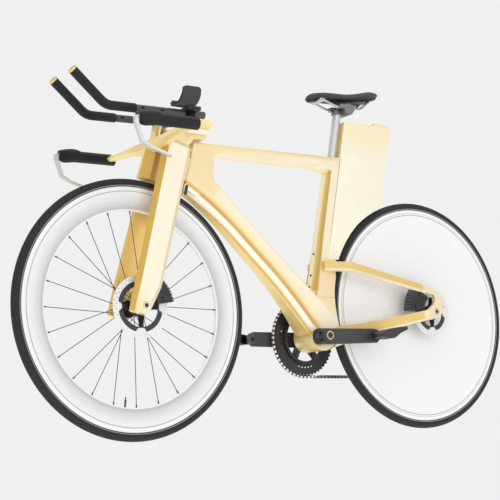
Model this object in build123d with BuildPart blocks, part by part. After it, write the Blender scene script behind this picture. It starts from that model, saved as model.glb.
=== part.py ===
"""Time-trial bicycle with a monocoque aero frame, a rear disc wheel and disc brakes.

Frame of reference: +X forward, +Y to the rider's left, +Z up, millimetres. The origin is the
point of the saddle where the rider sits. Sizes and places are worked out from the bottom
bracket centre, which lies under the saddle by SIT_POINT.
"""
import os
from math import acos, atan2, cos, hypot, pi, radians, sin, sqrt, tan

from build123d import *

os.makedirs("parts", exist_ok=True)

# ---------------------------------------------------------------- driving dimensions
WHEELBASE = 981.0
CHAINSTAY = 406.0
BB_DROP = 71.5                  # wheel axles above the bottom bracket centre
HEAD_ANGLE = 73.5
FORK_RAKE = 43.0

TYRE_RADIUS = 336.5
TYRE_WIDTH = 25.5
TYRE_HEIGHT = 24.5              # tread above the rim seat
RIM_SEAT_RADIUS = TYRE_RADIUS - TYRE_HEIGHT
TYRE_GAP = 6.0                  # tyre to fork crown and down tube
SEAT_TUBE_TYRE_GAP = 9.5

SIT_POINT = (-165.0, 721.0)     # origin, seen from the bottom bracket centre
TOP_TUBE_TOP = 521.0
TOP_TUBE_DEPTH = 34.0
FRAME_HALF = 22.0               # half width of the slim upper frame
HEAD_HALF = 25.0
BB_HALF = 43.0                  # half of the 86 mm bottom bracket shell
BB_SHELL_RADIUS = 40.0
SEAT_ANGLE = 77.0
SEAT_TUBE_DEPTH = 36.0
POST_SOCKET = 90.0              # depth of the seatpost in the frame
POST_HALF = 11.0
POST_DEPTH = 27.0
POST_REAR_WALL = 2.0            # seat tube behind the seatpost

HUB_REAR_HALF = 71.0            # half of the 142 mm rear hub
HUB_FRONT_HALF = 50.0           # half of the 100 mm front hub
DROPOUT_THICKNESS = 9.0
AXLE_RADIUS = 6.0
SPINDLE_RADIUS = 12.0
RUNNING = 0.05                  # radial clearance of a shaft that turns in its bore
SEAT = 0.2                      # clearance of a piece in its socket

STEERER_RADIUS = 14.0
HEAD_TUBE_RADIUS = 22.0
HEAD_LOW = 370.0                # head tube ends, along the steering axis
HEAD_HIGH = 437.0
LEG_CHORD = 82.0
LEG_TOP = 446.0
LEG_THICKNESS = 25.0
CROWN_GAP = 2.0                 # head tube to the crowns above and below it

CRANK_LENGTH = 170.0
CHAIN_PITCH = 12.7
CHAINLINE = 49.5
OUTER_TEETH = 52
INNER_TEETH = 36
SPROCKETS = [28, 25, 23, 21, 19, 17, 15, 14, 13, 12, 11]
CHAIN_SPROCKET = 6              # place of the one that the chain runs on
SPROCKET_TEETH = SPROCKETS[CHAIN_SPROCKET]
PULLEY_TEETH = 11
ROTOR_THICKNESS = 1.8
REAR_ROTOR_RADIUS = 70.0
FRONT_ROTOR_RADIUS = 80.0
FRONT_ROTOR_Y = 38.7
REAR_ROTOR_Y = 55.7

BOSS_RADIUS = 2.1               # threaded holes for M5 bolts
BOSS_DEPTH = 12.0
BOTTLE_SPACING = 64.0
BOTTLE_LOW = 175.0
BOX_BOSS_SPACING = 64.0
BOX_BOSS_BACK = 250.0           # middle of the two bosses behind the steering foot

# ---------------------------------------------------------------- frame of reference
BB = Vector(-SIT_POINT[0], 0, -SIT_POINT[1])
REAR_AXLE = (-sqrt(CHAINSTAY**2 - BB_DROP**2), BB_DROP)
FRONT_AXLE = (REAR_AXLE[0] + WHEELBASE, BB_DROP)
STEER_UP = (-cos(radians(HEAD_ANGLE)), sin(radians(HEAD_ANGLE)))
STEER_FORWARD = (sin(radians(HEAD_ANGLE)), cos(radians(HEAD_ANGLE)))
STEER_FOOT = (FRONT_AXLE[0] - FORK_RAKE * STEER_FORWARD[0],
              FRONT_AXLE[1] - FORK_RAKE * STEER_FORWARD[1])
FRONT = STEER_FOOT[0]           # the front end of the bicycle is placed from here


def point(x, y, z):
    """Model-space point from coordinates seen from the bottom bracket centre."""
    return BB + Vector(x, y, z)


def side(y=0.0, at=(0.0, 0.0)):
    """Side plane: sketch x is forward, sketch y is up, and it extrudes to the right."""
    return Plane(origin=point(at[0], y, at[1]), x_dir=(1, 0, 0), z_dir=(0, -1, 0))


def cross(x, at=(0.0, 0.0)):
    """Plane across the bicycle at x: sketch x is to the left, sketch y is up."""
    return Plane(origin=point(x, at[0], at[1]), x_dir=(0, 1, 0), z_dir=(1, 0, 0))


def level(z, at=(0.0, 0.0)):
    """Level plane: sketch x is forward, sketch y is to the left."""
    return Plane(origin=point(at[0], at[1], z), x_dir=(1, 0, 0), z_dir=(0, 0, 1))


def steer_point(forward, up):
    """Side-view point seen from the foot of the steering axis."""
    return (STEER_FOOT[0] + forward * STEER_FORWARD[0] + up * STEER_UP[0],
            STEER_FOOT[1] + forward * STEER_FORWARD[1] + up * STEER_UP[1])


def steer_side(y=0.0):
    """Side plane turned to the steering axis: sketch y runs up the axis."""
    return Plane(origin=point(STEER_FOOT[0], y, STEER_FOOT[1]),
                 x_dir=(STEER_FORWARD[0], 0, STEER_FORWARD[1]), z_dir=(0, -1, 0))


def steer_cut(up, forward=0.0, left=0.0):
    """Plane square to the steering axis: sketch x is forward, sketch y is to the left."""
    x, z = steer_point(forward, up)
    return Plane(origin=point(x, left, z), x_dir=(STEER_FORWARD[0], 0, STEER_FORWARD[1]),
                 z_dir=(STEER_UP[0], 0, STEER_UP[1]))


def axle_line(at):
    """Axis across the bicycle through a side-view point."""
    return Axis(point(at[0], 0, at[1]), (0, 1, 0))


def radial(at):
    """Plane through an axle: sketch x is to the left, sketch y is the radius."""
    return cross(at[0], (0, at[1]))


def mirrored(shape):
    """The right-hand piece of a left-hand one."""
    return mirror(shape, about=Plane.XZ)


def barrel(y_left, y_right, radius, at, mode=Mode.ADD):
    """Cylinder across the bicycle, from its left end to its right end."""
    with BuildSketch(side(y_left, at)) as disc:
        Circle(radius)
    extrude(disc.sketch, amount=y_left - y_right, mode=mode)


pieces = {}

# ---------------------------------------------------------------- main frame
HEAD_REAR = -15.0                   # front of the frame behind the crowns, from the axis
# two points on the upper edge of the down tube, the upper one behind the steering foot
DOWN_TUBE_FOOT = (147.0, 244.0)
DOWN_TUBE_HEAD = (FRONT - 177.3, 452.4)
DOWN_TUBE_ANGLE = atan2(DOWN_TUBE_HEAD[1] - DOWN_TUBE_FOOT[1],
                        DOWN_TUBE_HEAD[0] - DOWN_TUBE_FOOT[0])
DOWN_TUBE_LENGTH = hypot(DOWN_TUBE_HEAD[0] - DOWN_TUBE_FOOT[0],
                         DOWN_TUBE_HEAD[1] - DOWN_TUBE_FOOT[1])
# along the tube, depth of the side panel, depth of the nose, half width, half width of the nose
DOWN_TUBE_STATIONS = [(-279, 78, 97, 43, 34), (-228, 66, 95, 42, 29), (-170, 56, 87, 38, 22),
                      (-100, 50, 80, 33, 15),
                      (0, 46, 77, 27.5, 11), (100, 46, 76, 25, 10), (200, 50, 78, 25, 10),
                      (DOWN_TUBE_LENGTH, 70, 92, 25, 10)]
CHINE_STEP = 4.5                    # inward step between the side panel and the nose
SEAT_TUBE_FOOT = (14.0, 112.0)      # a point on its front edge
SEAT_NOSE_HALF = 8.0                # flat front of the seat tube
TRIANGLE_FLAT = 9.0                 # half width of the flat inner edge of the frame triangle
TRIANGLE_BEVEL = 11.0
BOX_FLOOR = 221.0                   # the storage box stands on the frame here
SEAM = 0.9                          # width of the panel seams
SEAM_Y = 29.5                       # the lower seam is cut in to here
SEAM_Z = 110.0


def down_tube_plane(along):
    """Plane across the down tube: sketch x is to the left, sketch y is up and back."""
    angle = DOWN_TUBE_ANGLE
    return Plane(origin=point(DOWN_TUBE_FOOT[0] + along * cos(angle), 0,
                              DOWN_TUBE_FOOT[1] + along * sin(angle)),
                 x_dir=(0, 1, 0), z_dir=(cos(angle), 0, sin(angle)))


def down_tube_section(along, panel, nose, half, nose_half):
    """Side panels, a step below them and a nose that bulges down to a narrow flat."""
    ledge, ledge_y = half - CHINE_STEP, -panel - CHINE_STEP
    belly = (ledge - 0.1 * (ledge - nose_half), ledge_y - 0.5 * (nose + ledge_y))
    with BuildSketch(down_tube_plane(along)) as section:
        with BuildLine():
            Polyline((3 - half, 0), (half - 3, 0), (half, -4), (half, -panel), (ledge, ledge_y))
            ThreePointArc((ledge, ledge_y), belly, (nose_half, -nose))
            Line((nose_half, -nose), (-nose_half, -nose))
            ThreePointArc((-nose_half, -nose), (-belly[0], belly[1]), (-ledge, ledge_y))
            Polyline((-ledge, ledge_y), (-half, -panel), (-half, -4), (3 - half, 0))
        make_face()
    return section.sketch


def seat_x(z, back=0.0):
    """Forward position of the front edge of the seat tube, or of a line that far behind it."""
    return SEAT_TUBE_FOOT[0] - back - (z - SEAT_TUBE_FOOT[1]) / tan(radians(SEAT_ANGLE))


def post_section(z, gap=0.0):
    """Blade section of the seatpost at a height, grown by a gap."""
    with BuildSketch(level(z)) as section:
        with Locations((seat_x(z, SEAT_TUBE_DEPTH - POST_REAR_WALL - POST_DEPTH / 2), 0)):
            Ellipse(POST_DEPTH / 2 + gap, POST_HALF + gap)
    return section.sketch


def triangle_outline(spread, y):
    """Upper and rear edges of the frame triangle, spread outwards, at a left position."""
    top = TOP_TUBE_TOP - TOP_TUBE_DEPTH + spread
    front = FRONT - 220 + spread
    corner = (seat_x(474, spread), 474 + 0.4 * spread)
    with BuildSketch(side(y)) as outline:
        with BuildLine():
            Polyline((seat_x(100, 0.6 * spread), 100), corner, (corner[0] + 38, top - 2),
                     (front - 30, top))
            ThreePointArc((front - 30, top), (front - 9, top - 9), (front, top - 30))
            Polyline((front, top - 30), (front, 411), (seat_x(100, 0.6 * spread), 100))
        make_face()
    return outline.sketch


# room for the chainrings on the right: from, to radius, and its inner side
RING_ROOM = [(BB_SHELL_RADIUS + 1, 80.0, -CHAINLINE + 13.5), (80.0, 113.0, -CHAINLINE + 6.0)]
with BuildPart() as ring_room:
    for inner, outer, start in RING_ROOM:
        with BuildSketch(side(start)):
            Circle(outer)
            Circle(inner, mode=Mode.SUBTRACT)
        extrude(amount=40)

with BuildPart() as triangle:
    extrude(triangle_outline(0, TRIANGLE_FLAT), amount=2 * TRIANGLE_FLAT)
    for sign in (1, -1):
        loft([triangle_outline(0, sign * TRIANGLE_FLAT),
              triangle_outline(TRIANGLE_BEVEL + 2, sign * (TRIANGLE_FLAT + 16))], ruled=True)

with BuildPart() as main_frame:
    # top tube and head cluster: one side profile, narrowed by one front profile
    with BuildSketch(side(HEAD_HALF)):
        Polygon((-100, TOP_TUBE_TOP), (steer_point(HEAD_REAR, 489.5)[0], TOP_TUBE_TOP),
                steer_point(HEAD_REAR, 350.0), (FRONT - 150, 372), (FRONT - 240, 392),
                (FRONT - 260, 440), (-60, 440), align=None)
    extrude(amount=2 * HEAD_HALF)
    with BuildSketch(cross(FRONT + 60)):
        Polygon((-18, TOP_TUBE_TOP), (18, TOP_TUBE_TOP), (FRAME_HALF, TOP_TUBE_TOP - 4),
                (HEAD_HALF, 440), (HEAD_HALF, 300), (-HEAD_HALF, 300), (-HEAD_HALF, 440),
                (-FRAME_HALF, TOP_TUBE_TOP - 4), align=None)
    extrude(amount=-FRONT - 400, mode=Mode.INTERSECT)
    # seat tube with a narrow nose
    for z, half, depth in [(100, 32, 80), (BOX_FLOOR, 26, 60), (300, 23, 42),
                           (TOP_TUBE_TOP, FRAME_HALF, SEAT_TUBE_DEPTH)]:
        front, rear = seat_x(z), seat_x(z, depth)
        with BuildSketch(level(z)):
            Polygon((front, SEAT_NOSE_HALF), (front - 7, half - 3), (front - 10, half),
                    (rear, half), (rear, -half), (front - 10, -half), (front - 7, 3 - half),
                    (front, -SEAT_NOSE_HALF), align=None)
    loft(ruled=True)
    add(triangle.part, mode=Mode.SUBTRACT)
    loft([down_tube_section(*station) for station in DOWN_TUBE_STATIONS])
    # bottom bracket housing
    for z, half, front, rear in [(-20, BB_HALF, 30, -62), (40, BB_HALF, 36, -66),
                                 (130, 30, 8, -66)]:
        with BuildSketch(level(z)):
            Polygon((front, half - 6), (front - 6, half), (rear, half), (rear, -half),
                    (front - 6, -half), (front, 6 - half), align=None)
    loft(ruled=True)
    barrel(BB_HALF, -BB_HALF, BB_SHELL_RADIUS, (0, 0))
    # room for both wheels and for the fork crowns
    barrel(100, -100, TYRE_RADIUS + SEAT_TUBE_TYRE_GAP, REAR_AXLE, Mode.SUBTRACT)
    barrel(100, -100, TYRE_RADIUS + TYRE_GAP, FRONT_AXLE, Mode.SUBTRACT)
    with BuildSketch(steer_side(100)):
        with Locations((HEAD_REAR, 300)):
            Rectangle(200, 250, align=(Align.MIN, Align.MIN))
    extrude(amount=200, mode=Mode.SUBTRACT)
    with BuildSketch(steer_cut(HEAD_LOW - 90)):
        Circle(HEAD_TUBE_RADIUS + CROWN_GAP)
    extrude(amount=90, mode=Mode.SUBTRACT)
    # the storage box stands behind the seat tube
    with BuildSketch(side(100)):
        Polygon((seat_x(BOX_FLOOR, SEAT_TUBE_DEPTH), BOX_FLOOR), (-200, BOX_FLOOR),
                (-200, TOP_TUBE_TOP + 1),
                (seat_x(TOP_TUBE_TOP + 1, SEAT_TUBE_DEPTH), TOP_TUBE_TOP + 1), align=None)
    extrude(amount=200, mode=Mode.SUBTRACT)
    # head tube and the block that carries it
    with BuildSketch(steer_cut(HEAD_LOW)):
        Circle(HEAD_TUBE_RADIUS)
        Polygon((HEAD_REAR - 12, HEAD_HALF - 2), (0, HEAD_TUBE_RADIUS), (0, -HEAD_TUBE_RADIUS),
                (HEAD_REAR - 12, 2 - HEAD_HALF), align=None)
    extrude(amount=HEAD_HIGH - HEAD_LOW)
    with BuildSketch(steer_cut(HEAD_LOW - 50)):
        Circle(STEERER_RADIUS + RUNNING)
    extrude(amount=200, mode=Mode.SUBTRACT)
    add(ring_room.part, mode=Mode.SUBTRACT)
    # seam between the foot of the seat tube and the housing
    for y in (SEAM_Y + 20, -SEAM_Y):
        with BuildSketch(side(y)):
            with Locations((-80, SEAM_Z)):
                Rectangle(95, SEAM, align=(Align.MIN, Align.MIN))
        extrude(amount=20, mode=Mode.SUBTRACT)
    # bottom bracket bore and seatpost socket
    barrel(BB_HALF + 1, -BB_HALF - 1, SPINDLE_RADIUS + RUNNING, (0, 0), Mode.SUBTRACT)
    loft([post_section(TOP_TUBE_TOP - POST_SOCKET, SEAT), post_section(TOP_TUBE_TOP + 5, SEAT)],
         ruled=True, mode=Mode.SUBTRACT)
    # bottle bosses on the seat tube and box bosses on the top tube
    for along in (0, BOTTLE_SPACING):
        lean = radians(SEAT_ANGLE)
        boss_z = BOTTLE_LOW + along * sin(lean)
        with BuildSketch(Plane(origin=point(seat_x(boss_z), 0, boss_z), x_dir=(0, 1, 0),
                               z_dir=(sin(lean), 0, cos(lean)))):
            Circle(BOSS_RADIUS)
        extrude(amount=-BOSS_DEPTH, mode=Mode.SUBTRACT)
    with BuildSketch(level(TOP_TUBE_TOP)):
        with Locations((FRONT - BOX_BOSS_BACK - BOX_BOSS_SPACING / 2, 0),
                       (FRONT - BOX_BOSS_BACK + BOX_BOSS_SPACING / 2, 0)):
            Circle(BOSS_RADIUS)
    extrude(amount=-BOSS_DEPTH, mode=Mode.SUBTRACT)
pieces["main_frame"] = main_frame.part

# ---------------------------------------------------------------- rear triangle
# forward position, inner side, outer side, top, bottom
SEATSTAY_STATIONS = [(-22, 10, 40, 212, 186), (-95, 55, 70, 208, 182), (-366, 66, 80, 146, 124)]
CHAINSTAY_STATIONS = [(-43, 22, 43, 26, -30), (-130, 34, 46, 36, -5),
                      (-200, 38, 50, 46, 12), (-366, 66, 80, 76, 46)]


def stay(stations):
    """Flared bar with a bevel along its lower outer edge."""
    sections = []
    for x, inner, outer, top, bottom in stations:
        with BuildSketch(cross(x)) as section:
            Polygon((inner, top), (outer, top), (outer, bottom + 7), (outer - 6, bottom),
                    (inner, bottom), align=None)
        sections.append(section.sketch)
    loft(sections, ruled=True)


with BuildPart() as seatstay_left:
    stay(SEATSTAY_STATIONS)
    add(main_frame.part, mode=Mode.SUBTRACT)
with BuildPart() as chainstay_left:
    stay(CHAINSTAY_STATIONS)
    # dropout plate: it holds the axle and takes the seatstay
    inner = HUB_REAR_HALF
    with BuildSketch(side(inner + DROPOUT_THICKNESS)):
        with BuildLine():
            Polyline((-366, 146), (-394, 139), (-423, 110), (-428, 78), (-410, 53), (-366, 46),
                     (-366, 76), (-388, 92), (-396, 108), (-392, 120), (-366, 124), (-366, 146))
        make_face()
    extrude(amount=DROPOUT_THICKNESS)
    barrel(inner + DROPOUT_THICKNESS, inner, AXLE_RADIUS, REAR_AXLE, Mode.SUBTRACT)
    add(main_frame.part, mode=Mode.SUBTRACT)
    add(seatstay_left.part, mode=Mode.SUBTRACT)
with BuildPart() as chainstay_right:
    add(mirrored(chainstay_left.part))
    add(ring_room.part, mode=Mode.SUBTRACT)
pieces["seatstay_left"] = seatstay_left.part
pieces["seatstay_right"] = mirrored(seatstay_left.part)
pieces["chainstay_left"] = chainstay_left.part
pieces["chainstay_right"] = chainstay_right.part

with BuildPart() as rear_axle:
    barrel(HUB_REAR_HALF + DROPOUT_THICKNESS, -HUB_REAR_HALF - DROPOUT_THICKNESS, AXLE_RADIUS,
           REAR_AXLE)
pieces["rear_axle"] = rear_axle.part

# ---------------------------------------------------------------- storage box and seatpost
BOX_TOP = 632.0
BOX_HALF = 21.0
BOX_REAR = -322.0
LID_HEIGHT = 11.0
PANEL_GAP = 0.3


def box_front(z):
    """Front edge of the storage box, just behind the seat tube and the seatpost."""
    return seat_x(z, SEAT_TUBE_DEPTH + PANEL_GAP)


with BuildPart() as frame_seals:
    # strip between the frame and the box
    with BuildSketch(side(BOX_HALF - 0.5)):
        Polygon((box_front(BOX_FLOOR), BOX_FLOOR), (box_front(TOP_TUBE_TOP), TOP_TUBE_TOP),
                (box_front(TOP_TUBE_TOP) - SEAM, TOP_TUBE_TOP),
                (box_front(BOX_FLOOR) - SEAM, BOX_FLOOR + SEAM),
                (-262, BOX_FLOOR + SEAM), (-262, BOX_FLOOR), align=None)
    extrude(amount=2 * BOX_HALF - 1)
    barrel(100, -100, TYRE_RADIUS + SEAT_TUBE_TYRE_GAP, REAR_AXLE, Mode.SUBTRACT)
    # hose port on each side of the head
    for y in (HEAD_HALF + 1.5, -HEAD_HALF):
        with BuildSketch(side(y)):
            with Locations(Location((*steer_point(HEAD_REAR - 6, 347), 0), (0, 0, 16))):
                RectangleRounded(8, 28, 3)
        extrude(amount=1.5)
pieces["frame_seals"] = frame_seals.part
with BuildPart() as storage_box:
    with BuildSketch(side(BOX_HALF)):
        Polygon((box_front(BOX_FLOOR), BOX_FLOOR), (box_front(BOX_TOP), BOX_TOP),
                (BOX_REAR, BOX_TOP), (-262, 378), (-262, BOX_FLOOR), align=None)
    extrude(amount=2 * BOX_HALF)
    barrel(100, -100, TYRE_RADIUS + SEAT_TUBE_TYRE_GAP, REAR_AXLE, Mode.SUBTRACT)
    add(frame_seals.part, mode=Mode.SUBTRACT)
pieces["storage_box"] = storage_box.part

with BuildPart() as storage_lid:
    with BuildSketch(side(BOX_HALF - 3)):
        Polygon((BOX_REAR, BOX_TOP), (BOX_REAR, BOX_TOP + 2),
                (BOX_REAR + 32, BOX_TOP + LID_HEIGHT), (BOX_REAR + 54, BOX_TOP + LID_HEIGHT - 1),
                (BOX_REAR + 66, BOX_TOP), align=None)
    extrude(amount=2 * BOX_HALF - 6)
pieces["storage_lid"] = storage_lid.part

POST_TOP = 655.0
with BuildPart() as seatpost:
    loft([post_section(TOP_TUBE_TOP - POST_SOCKET + SEAT), post_section(POST_TOP)], ruled=True)
pieces["seatpost"] = seatpost.part

# ---------------------------------------------------------------- saddle
RAIL_RADIUS = 3.5
RAIL_HALF = 22.0
RAIL_Z = 676.0
CLAMP_X = -158.0
CLAMP_RADIUS = 17.0
CLAMP_HALF = RAIL_HALF + 6.0
# forward position, half width, height of the crown, height of the edge
SADDLE_STATIONS = [(-20, 9, 699, 692), (-30, 15, 709, 695), (-50, 18, 715, 698),
                   (-105, 22, 720, 701), (-165, 37, 721, 703), (-210, 58, 728, 708),
                   (-235, 65, 734, 713), (-256, 52, 739, 718), (-272, 30, 741, 725),
                   (-281, 10, 740, 731)]
PAD_EDGE = 4.0                  # the pad wraps round the shell by this depth
SHELL_DEPTH = 6.0

with BuildPart() as saddle_pad:
    for x, half, crown, edge in SADDLE_STATIONS:
        with BuildSketch(cross(x)):
            with BuildLine():
                ThreePointArc((half, edge), (0, crown), (-half, edge))
                Polyline((-half, edge), (-half * 0.8, edge - PAD_EDGE),
                         (half * 0.8, edge - PAD_EDGE), (half, edge))
            make_face()
    loft()
pieces["saddle_pad"] = saddle_pad.part

with BuildPart() as saddle_shell:
    for x, half, crown, edge in SADDLE_STATIONS[1:-1]:
        with BuildSketch(cross(x)):
            top, bottom = edge - PAD_EDGE - PANEL_GAP, edge - PAD_EDGE - SHELL_DEPTH
            Polygon((half * 0.76, top), (-half * 0.76, top), (-half * 0.6, bottom),
                    (half * 0.6, bottom), align=None)
    loft(ruled=True)
    add(saddle_pad.part, mode=Mode.SUBTRACT)
pieces["saddle_shell"] = saddle_shell.part

with BuildPart() as saddle_rails:
    for y in (-RAIL_HALF, RAIL_HALF):
        with BuildLine(side(y)) as rail_path:
            FilletPolyline((-60, 693), (-112, RAIL_Z), (-205, RAIL_Z), (-245, 706.5), radius=25)
        with BuildSketch(Plane(origin=rail_path.line @ 0, z_dir=rail_path.line % 0)):
            Circle(RAIL_RADIUS)
        sweep(path=rail_path.line)
    # foot of each rail in the shell at the nose
    with BuildSketch(side(RAIL_HALF + RAIL_RADIUS)):
        Polygon((-52, 689), (-52, 694), (-70, 694), (-70, 686), align=None)
    extrude(amount=2 * RAIL_HALF + 2 * RAIL_RADIUS)
    add(saddle_shell.part, mode=Mode.SUBTRACT)
    add(saddle_pad.part, mode=Mode.SUBTRACT)
pieces["saddle_rails"] = saddle_rails.part

with BuildPart() as saddle_clamp:
    # drum across the top of the post, cradles of the rails and a neck down to the post
    barrel(CLAMP_HALF, -CLAMP_HALF, CLAMP_RADIUS, (CLAMP_X, RAIL_Z - 6))
    for y in (CLAMP_HALF, -RAIL_HALF + 6):
        with BuildSketch(side(y)):
            with Locations((CLAMP_X + 6, RAIL_Z + 1)):
                RectangleRounded(58, 14, 6)
        extrude(amount=12)
    with BuildSketch(side(POST_HALF)):
        Polygon((CLAMP_X - 12, RAIL_Z - 8), (CLAMP_X + 6, RAIL_Z + 6), (CLAMP_X + 30, RAIL_Z - 4),
                (seat_x(POST_TOP, SEAT_TUBE_DEPTH - POST_REAR_WALL - POST_DEPTH), POST_TOP),
                (seat_x(POST_TOP, SEAT_TUBE_DEPTH - POST_REAR_WALL), POST_TOP), align=None)
    extrude(amount=2 * POST_HALF)
    add(saddle_rails.part, mode=Mode.SUBTRACT)
    add(seatpost.part, mode=Mode.SUBTRACT)
    add(saddle_shell.part, mode=Mode.SUBTRACT)
pieces["saddle_clamp"] = saddle_clamp.part

# ---------------------------------------------------------------- stem and bars
LEG_REAR = 1.0                      # rear edge of the legs, from the steering axis
LEG_INNER_TOP = 31.5                # inner face of the leg at its top and at the axle
LEG_INNER_AXLE = HUB_FRONT_HALF
NOSE_FRONT = 115.0                  # front of the fairing under the base bar
NOSE_HALF = 20.0
NOSE_EDGE = 5.0                     # half width of its blunt front
COLUMN_FRONT = 98.0                 # front of the column above the base bar
COLUMN_TOP = 494.0
NOSE_REAR = 88.0
SPINE_HALF = 9.0                    # recessed spine behind the nose
STEM_GAP = 6.0                      # stem to the top tube that it turns over
STEM_HALF = 31.0
STEM_TOP = 556.0
STEM_FRONT = LEG_CHORD - 6
BAR_LEADING = FRONT - 8.0
BAR_Z = 511.0
GRIP_Y = 217.0
GRIP_Z = 511.0
GRIP_RADIUS = 15.5
GRIP_REAR = FRONT - 38.0
GRIP_FRONT = FRONT + 66.0
HOOD_FRONT = FRONT + 132.0

with BuildPart() as stem:
    # body with a pointed tail, its sides stepped in under the tail
    with BuildSketch(side(STEM_HALF + 2)):
        Polygon(steer_point(LEG_REAR, LEG_TOP), steer_point(LEG_REAR, LEG_TOP + 20),
                (FRONT - 148, TOP_TUBE_TOP + STEM_GAP), (FRONT - 182, TOP_TUBE_TOP + STEM_GAP),
                (FRONT - 211, 578), (FRONT - 182, 586), (FRONT - 112, STEM_TOP),
                steer_point(STEM_FRONT, 490), steer_point(STEM_FRONT, LEG_TOP),
                align=None)
    extrude(amount=2 * STEM_HALF + 4)
    with BuildSketch(cross(FRONT + 60)):
        with BuildLine():
            half = Polyline((0, 440), (STEM_HALF, 440), (STEM_HALF, 500), (25, 508),
                            (STEM_HALF - 1, 525), (STEM_HALF - 1, 538), (25, 544),
                            (STEM_HALF + 2, 580), (STEM_HALF + 2, 600), (0, 600))
            mirror(half, about=Plane.YZ)
        make_face()
    extrude(amount=-400, mode=Mode.INTERSECT)
    # shoulders down to the tops of the legs
    for up, half in ((LEG_TOP, LEG_INNER_TOP + LEG_THICKNESS), (LEG_TOP + 20, STEM_HALF)):
        with BuildSketch(steer_cut(up)):
            Rectangle(STEM_FRONT, 2 * half, align=(Align.MIN, Align.CENTER))
    loft(ruled=True)
pieces["stem"] = stem.part


def bar_section(y, chord, depth):
    """Six-sided wing section: a ridge above, a keel below, a sharp leading edge."""
    with BuildSketch(Plane(origin=point(BAR_LEADING, y, BAR_Z), x_dir=(1, 0, 0),
                           z_dir=(0, -1, 0))) as section:
        Polygon((0, 0), (-chord * 0.4, 9), (-chord, 3), (-chord * 0.85, -depth * 0.45),
                (-chord * 0.3, 8 - depth), (-chord * 0.08, 6 - depth * 0.6), align=None)
    return section.sketch


with BuildPart() as base_bar:
    root, middle, tip = (STEM_HALF, 62, 38), (110.0, 44, 23), (GRIP_Y - 14, 32, 16)
    for sign in (-1, 1):
        loft([bar_section(sign * y, chord, depth) for y, chord, depth in (root, middle, tip)],
             ruled=True)
    loft([bar_section(-root[0], *root[1:]), bar_section(root[0], *root[1:])], ruled=True)
    add(stem.part, mode=Mode.SUBTRACT)
pieces["base_bar"] = base_bar.part

with BuildPart() as grip_left:
    with BuildSketch(cross(GRIP_REAR, (GRIP_Y, GRIP_Z))):
        Circle(GRIP_RADIUS)
    extrude(amount=GRIP_FRONT - GRIP_REAR)
    for x, width, height, lift in [(GRIP_FRONT, 31, 31, 0), (GRIP_FRONT + 10, 32, 35, 2),
                                   (GRIP_FRONT + 42, 33, 38, 0), (HOOD_FRONT - 10, 29, 34, -1),
                                   (HOOD_FRONT, 20, 23, 1)]:
        with BuildSketch(cross(x, (GRIP_Y, GRIP_Z + lift))):
            Ellipse(width / 2, height / 2)
    loft()
    add(base_bar.part, mode=Mode.SUBTRACT)
pieces["grip_left"] = grip_left.part
pieces["grip_right"] = mirrored(grip_left.part)

LEVER_HALF = 5.0
# ahead of the steering foot and up: pivot, blade down to its tip, and back
LEVER_OUTLINE = [(131.9, 518), (144, 512), (144, 498), (128, 450), (100, 436), (43, 419),
                 (41, 425), (98, 443), (120, 456), (134, 500), (131.9, 504)]
with BuildPart() as brake_lever_left:
    with BuildSketch(side(GRIP_Y + LEVER_HALF)):
        with BuildLine():
            Polyline(*[(FRONT + ahead, up) for ahead, up in LEVER_OUTLINE], close=True)
        make_face()
    extrude(amount=2 * LEVER_HALF)
    add(grip_left.part, mode=Mode.SUBTRACT)
pieces["brake_lever_left"] = brake_lever_left.part
pieces["brake_lever_right"] = mirrored(brake_lever_left.part)

# ---------------------------------------------------------------- fork
LEG_FOOT = -24.0
CROWN_LOW = 343.0


def leg_inner(up):
    """Left position of the inner face of the left leg at a height on the steering axis."""
    share = max(0.0, min(1.0, (LEG_TOP - up) / (LEG_TOP - 60.0)))
    return LEG_INNER_TOP + share * (LEG_INNER_AXLE - LEG_INNER_TOP)


def leg_section(up, rear, front, thickness):
    """Flat-sided blade with a narrow bevelled nose."""
    inner = leg_inner(up)
    outer = inner + thickness
    with BuildSketch(steer_cut(up)) as section:
        Polygon((rear + 12, inner), (front - 6, inner), (front, inner + 7), (front - 10, outer),
                (rear + 14, outer), (rear, inner + thickness * 0.5), align=None)
    return section.sketch


with BuildPart() as fork_leg_left:
    loft([leg_section(LEG_FOOT, 32, 82, 20), leg_section(0, 22, 83, 20),
          leg_section(60, 8, LEG_REAR + LEG_CHORD, 22),
          leg_section(LEG_TOP, LEG_REAR, LEG_REAR + LEG_CHORD, LEG_THICKNESS)], ruled=True)
    add(base_bar.part, mode=Mode.SUBTRACT)
    barrel(100, 0, AXLE_RADIUS, FRONT_AXLE, Mode.SUBTRACT)
pieces["fork_leg_left"] = fork_leg_left.part
pieces["fork_leg_right"] = mirrored(fork_leg_left.part)

def nose_section(up, front):
    """Wedge of the nose fairing, ahead of its spine."""
    with BuildSketch(steer_cut(up)) as section:
        Polygon((front, NOSE_EDGE), (NOSE_REAR, NOSE_HALF), (NOSE_REAR, -NOSE_HALF),
                (front, -NOSE_EDGE), align=None)
    return section.sketch


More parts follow.
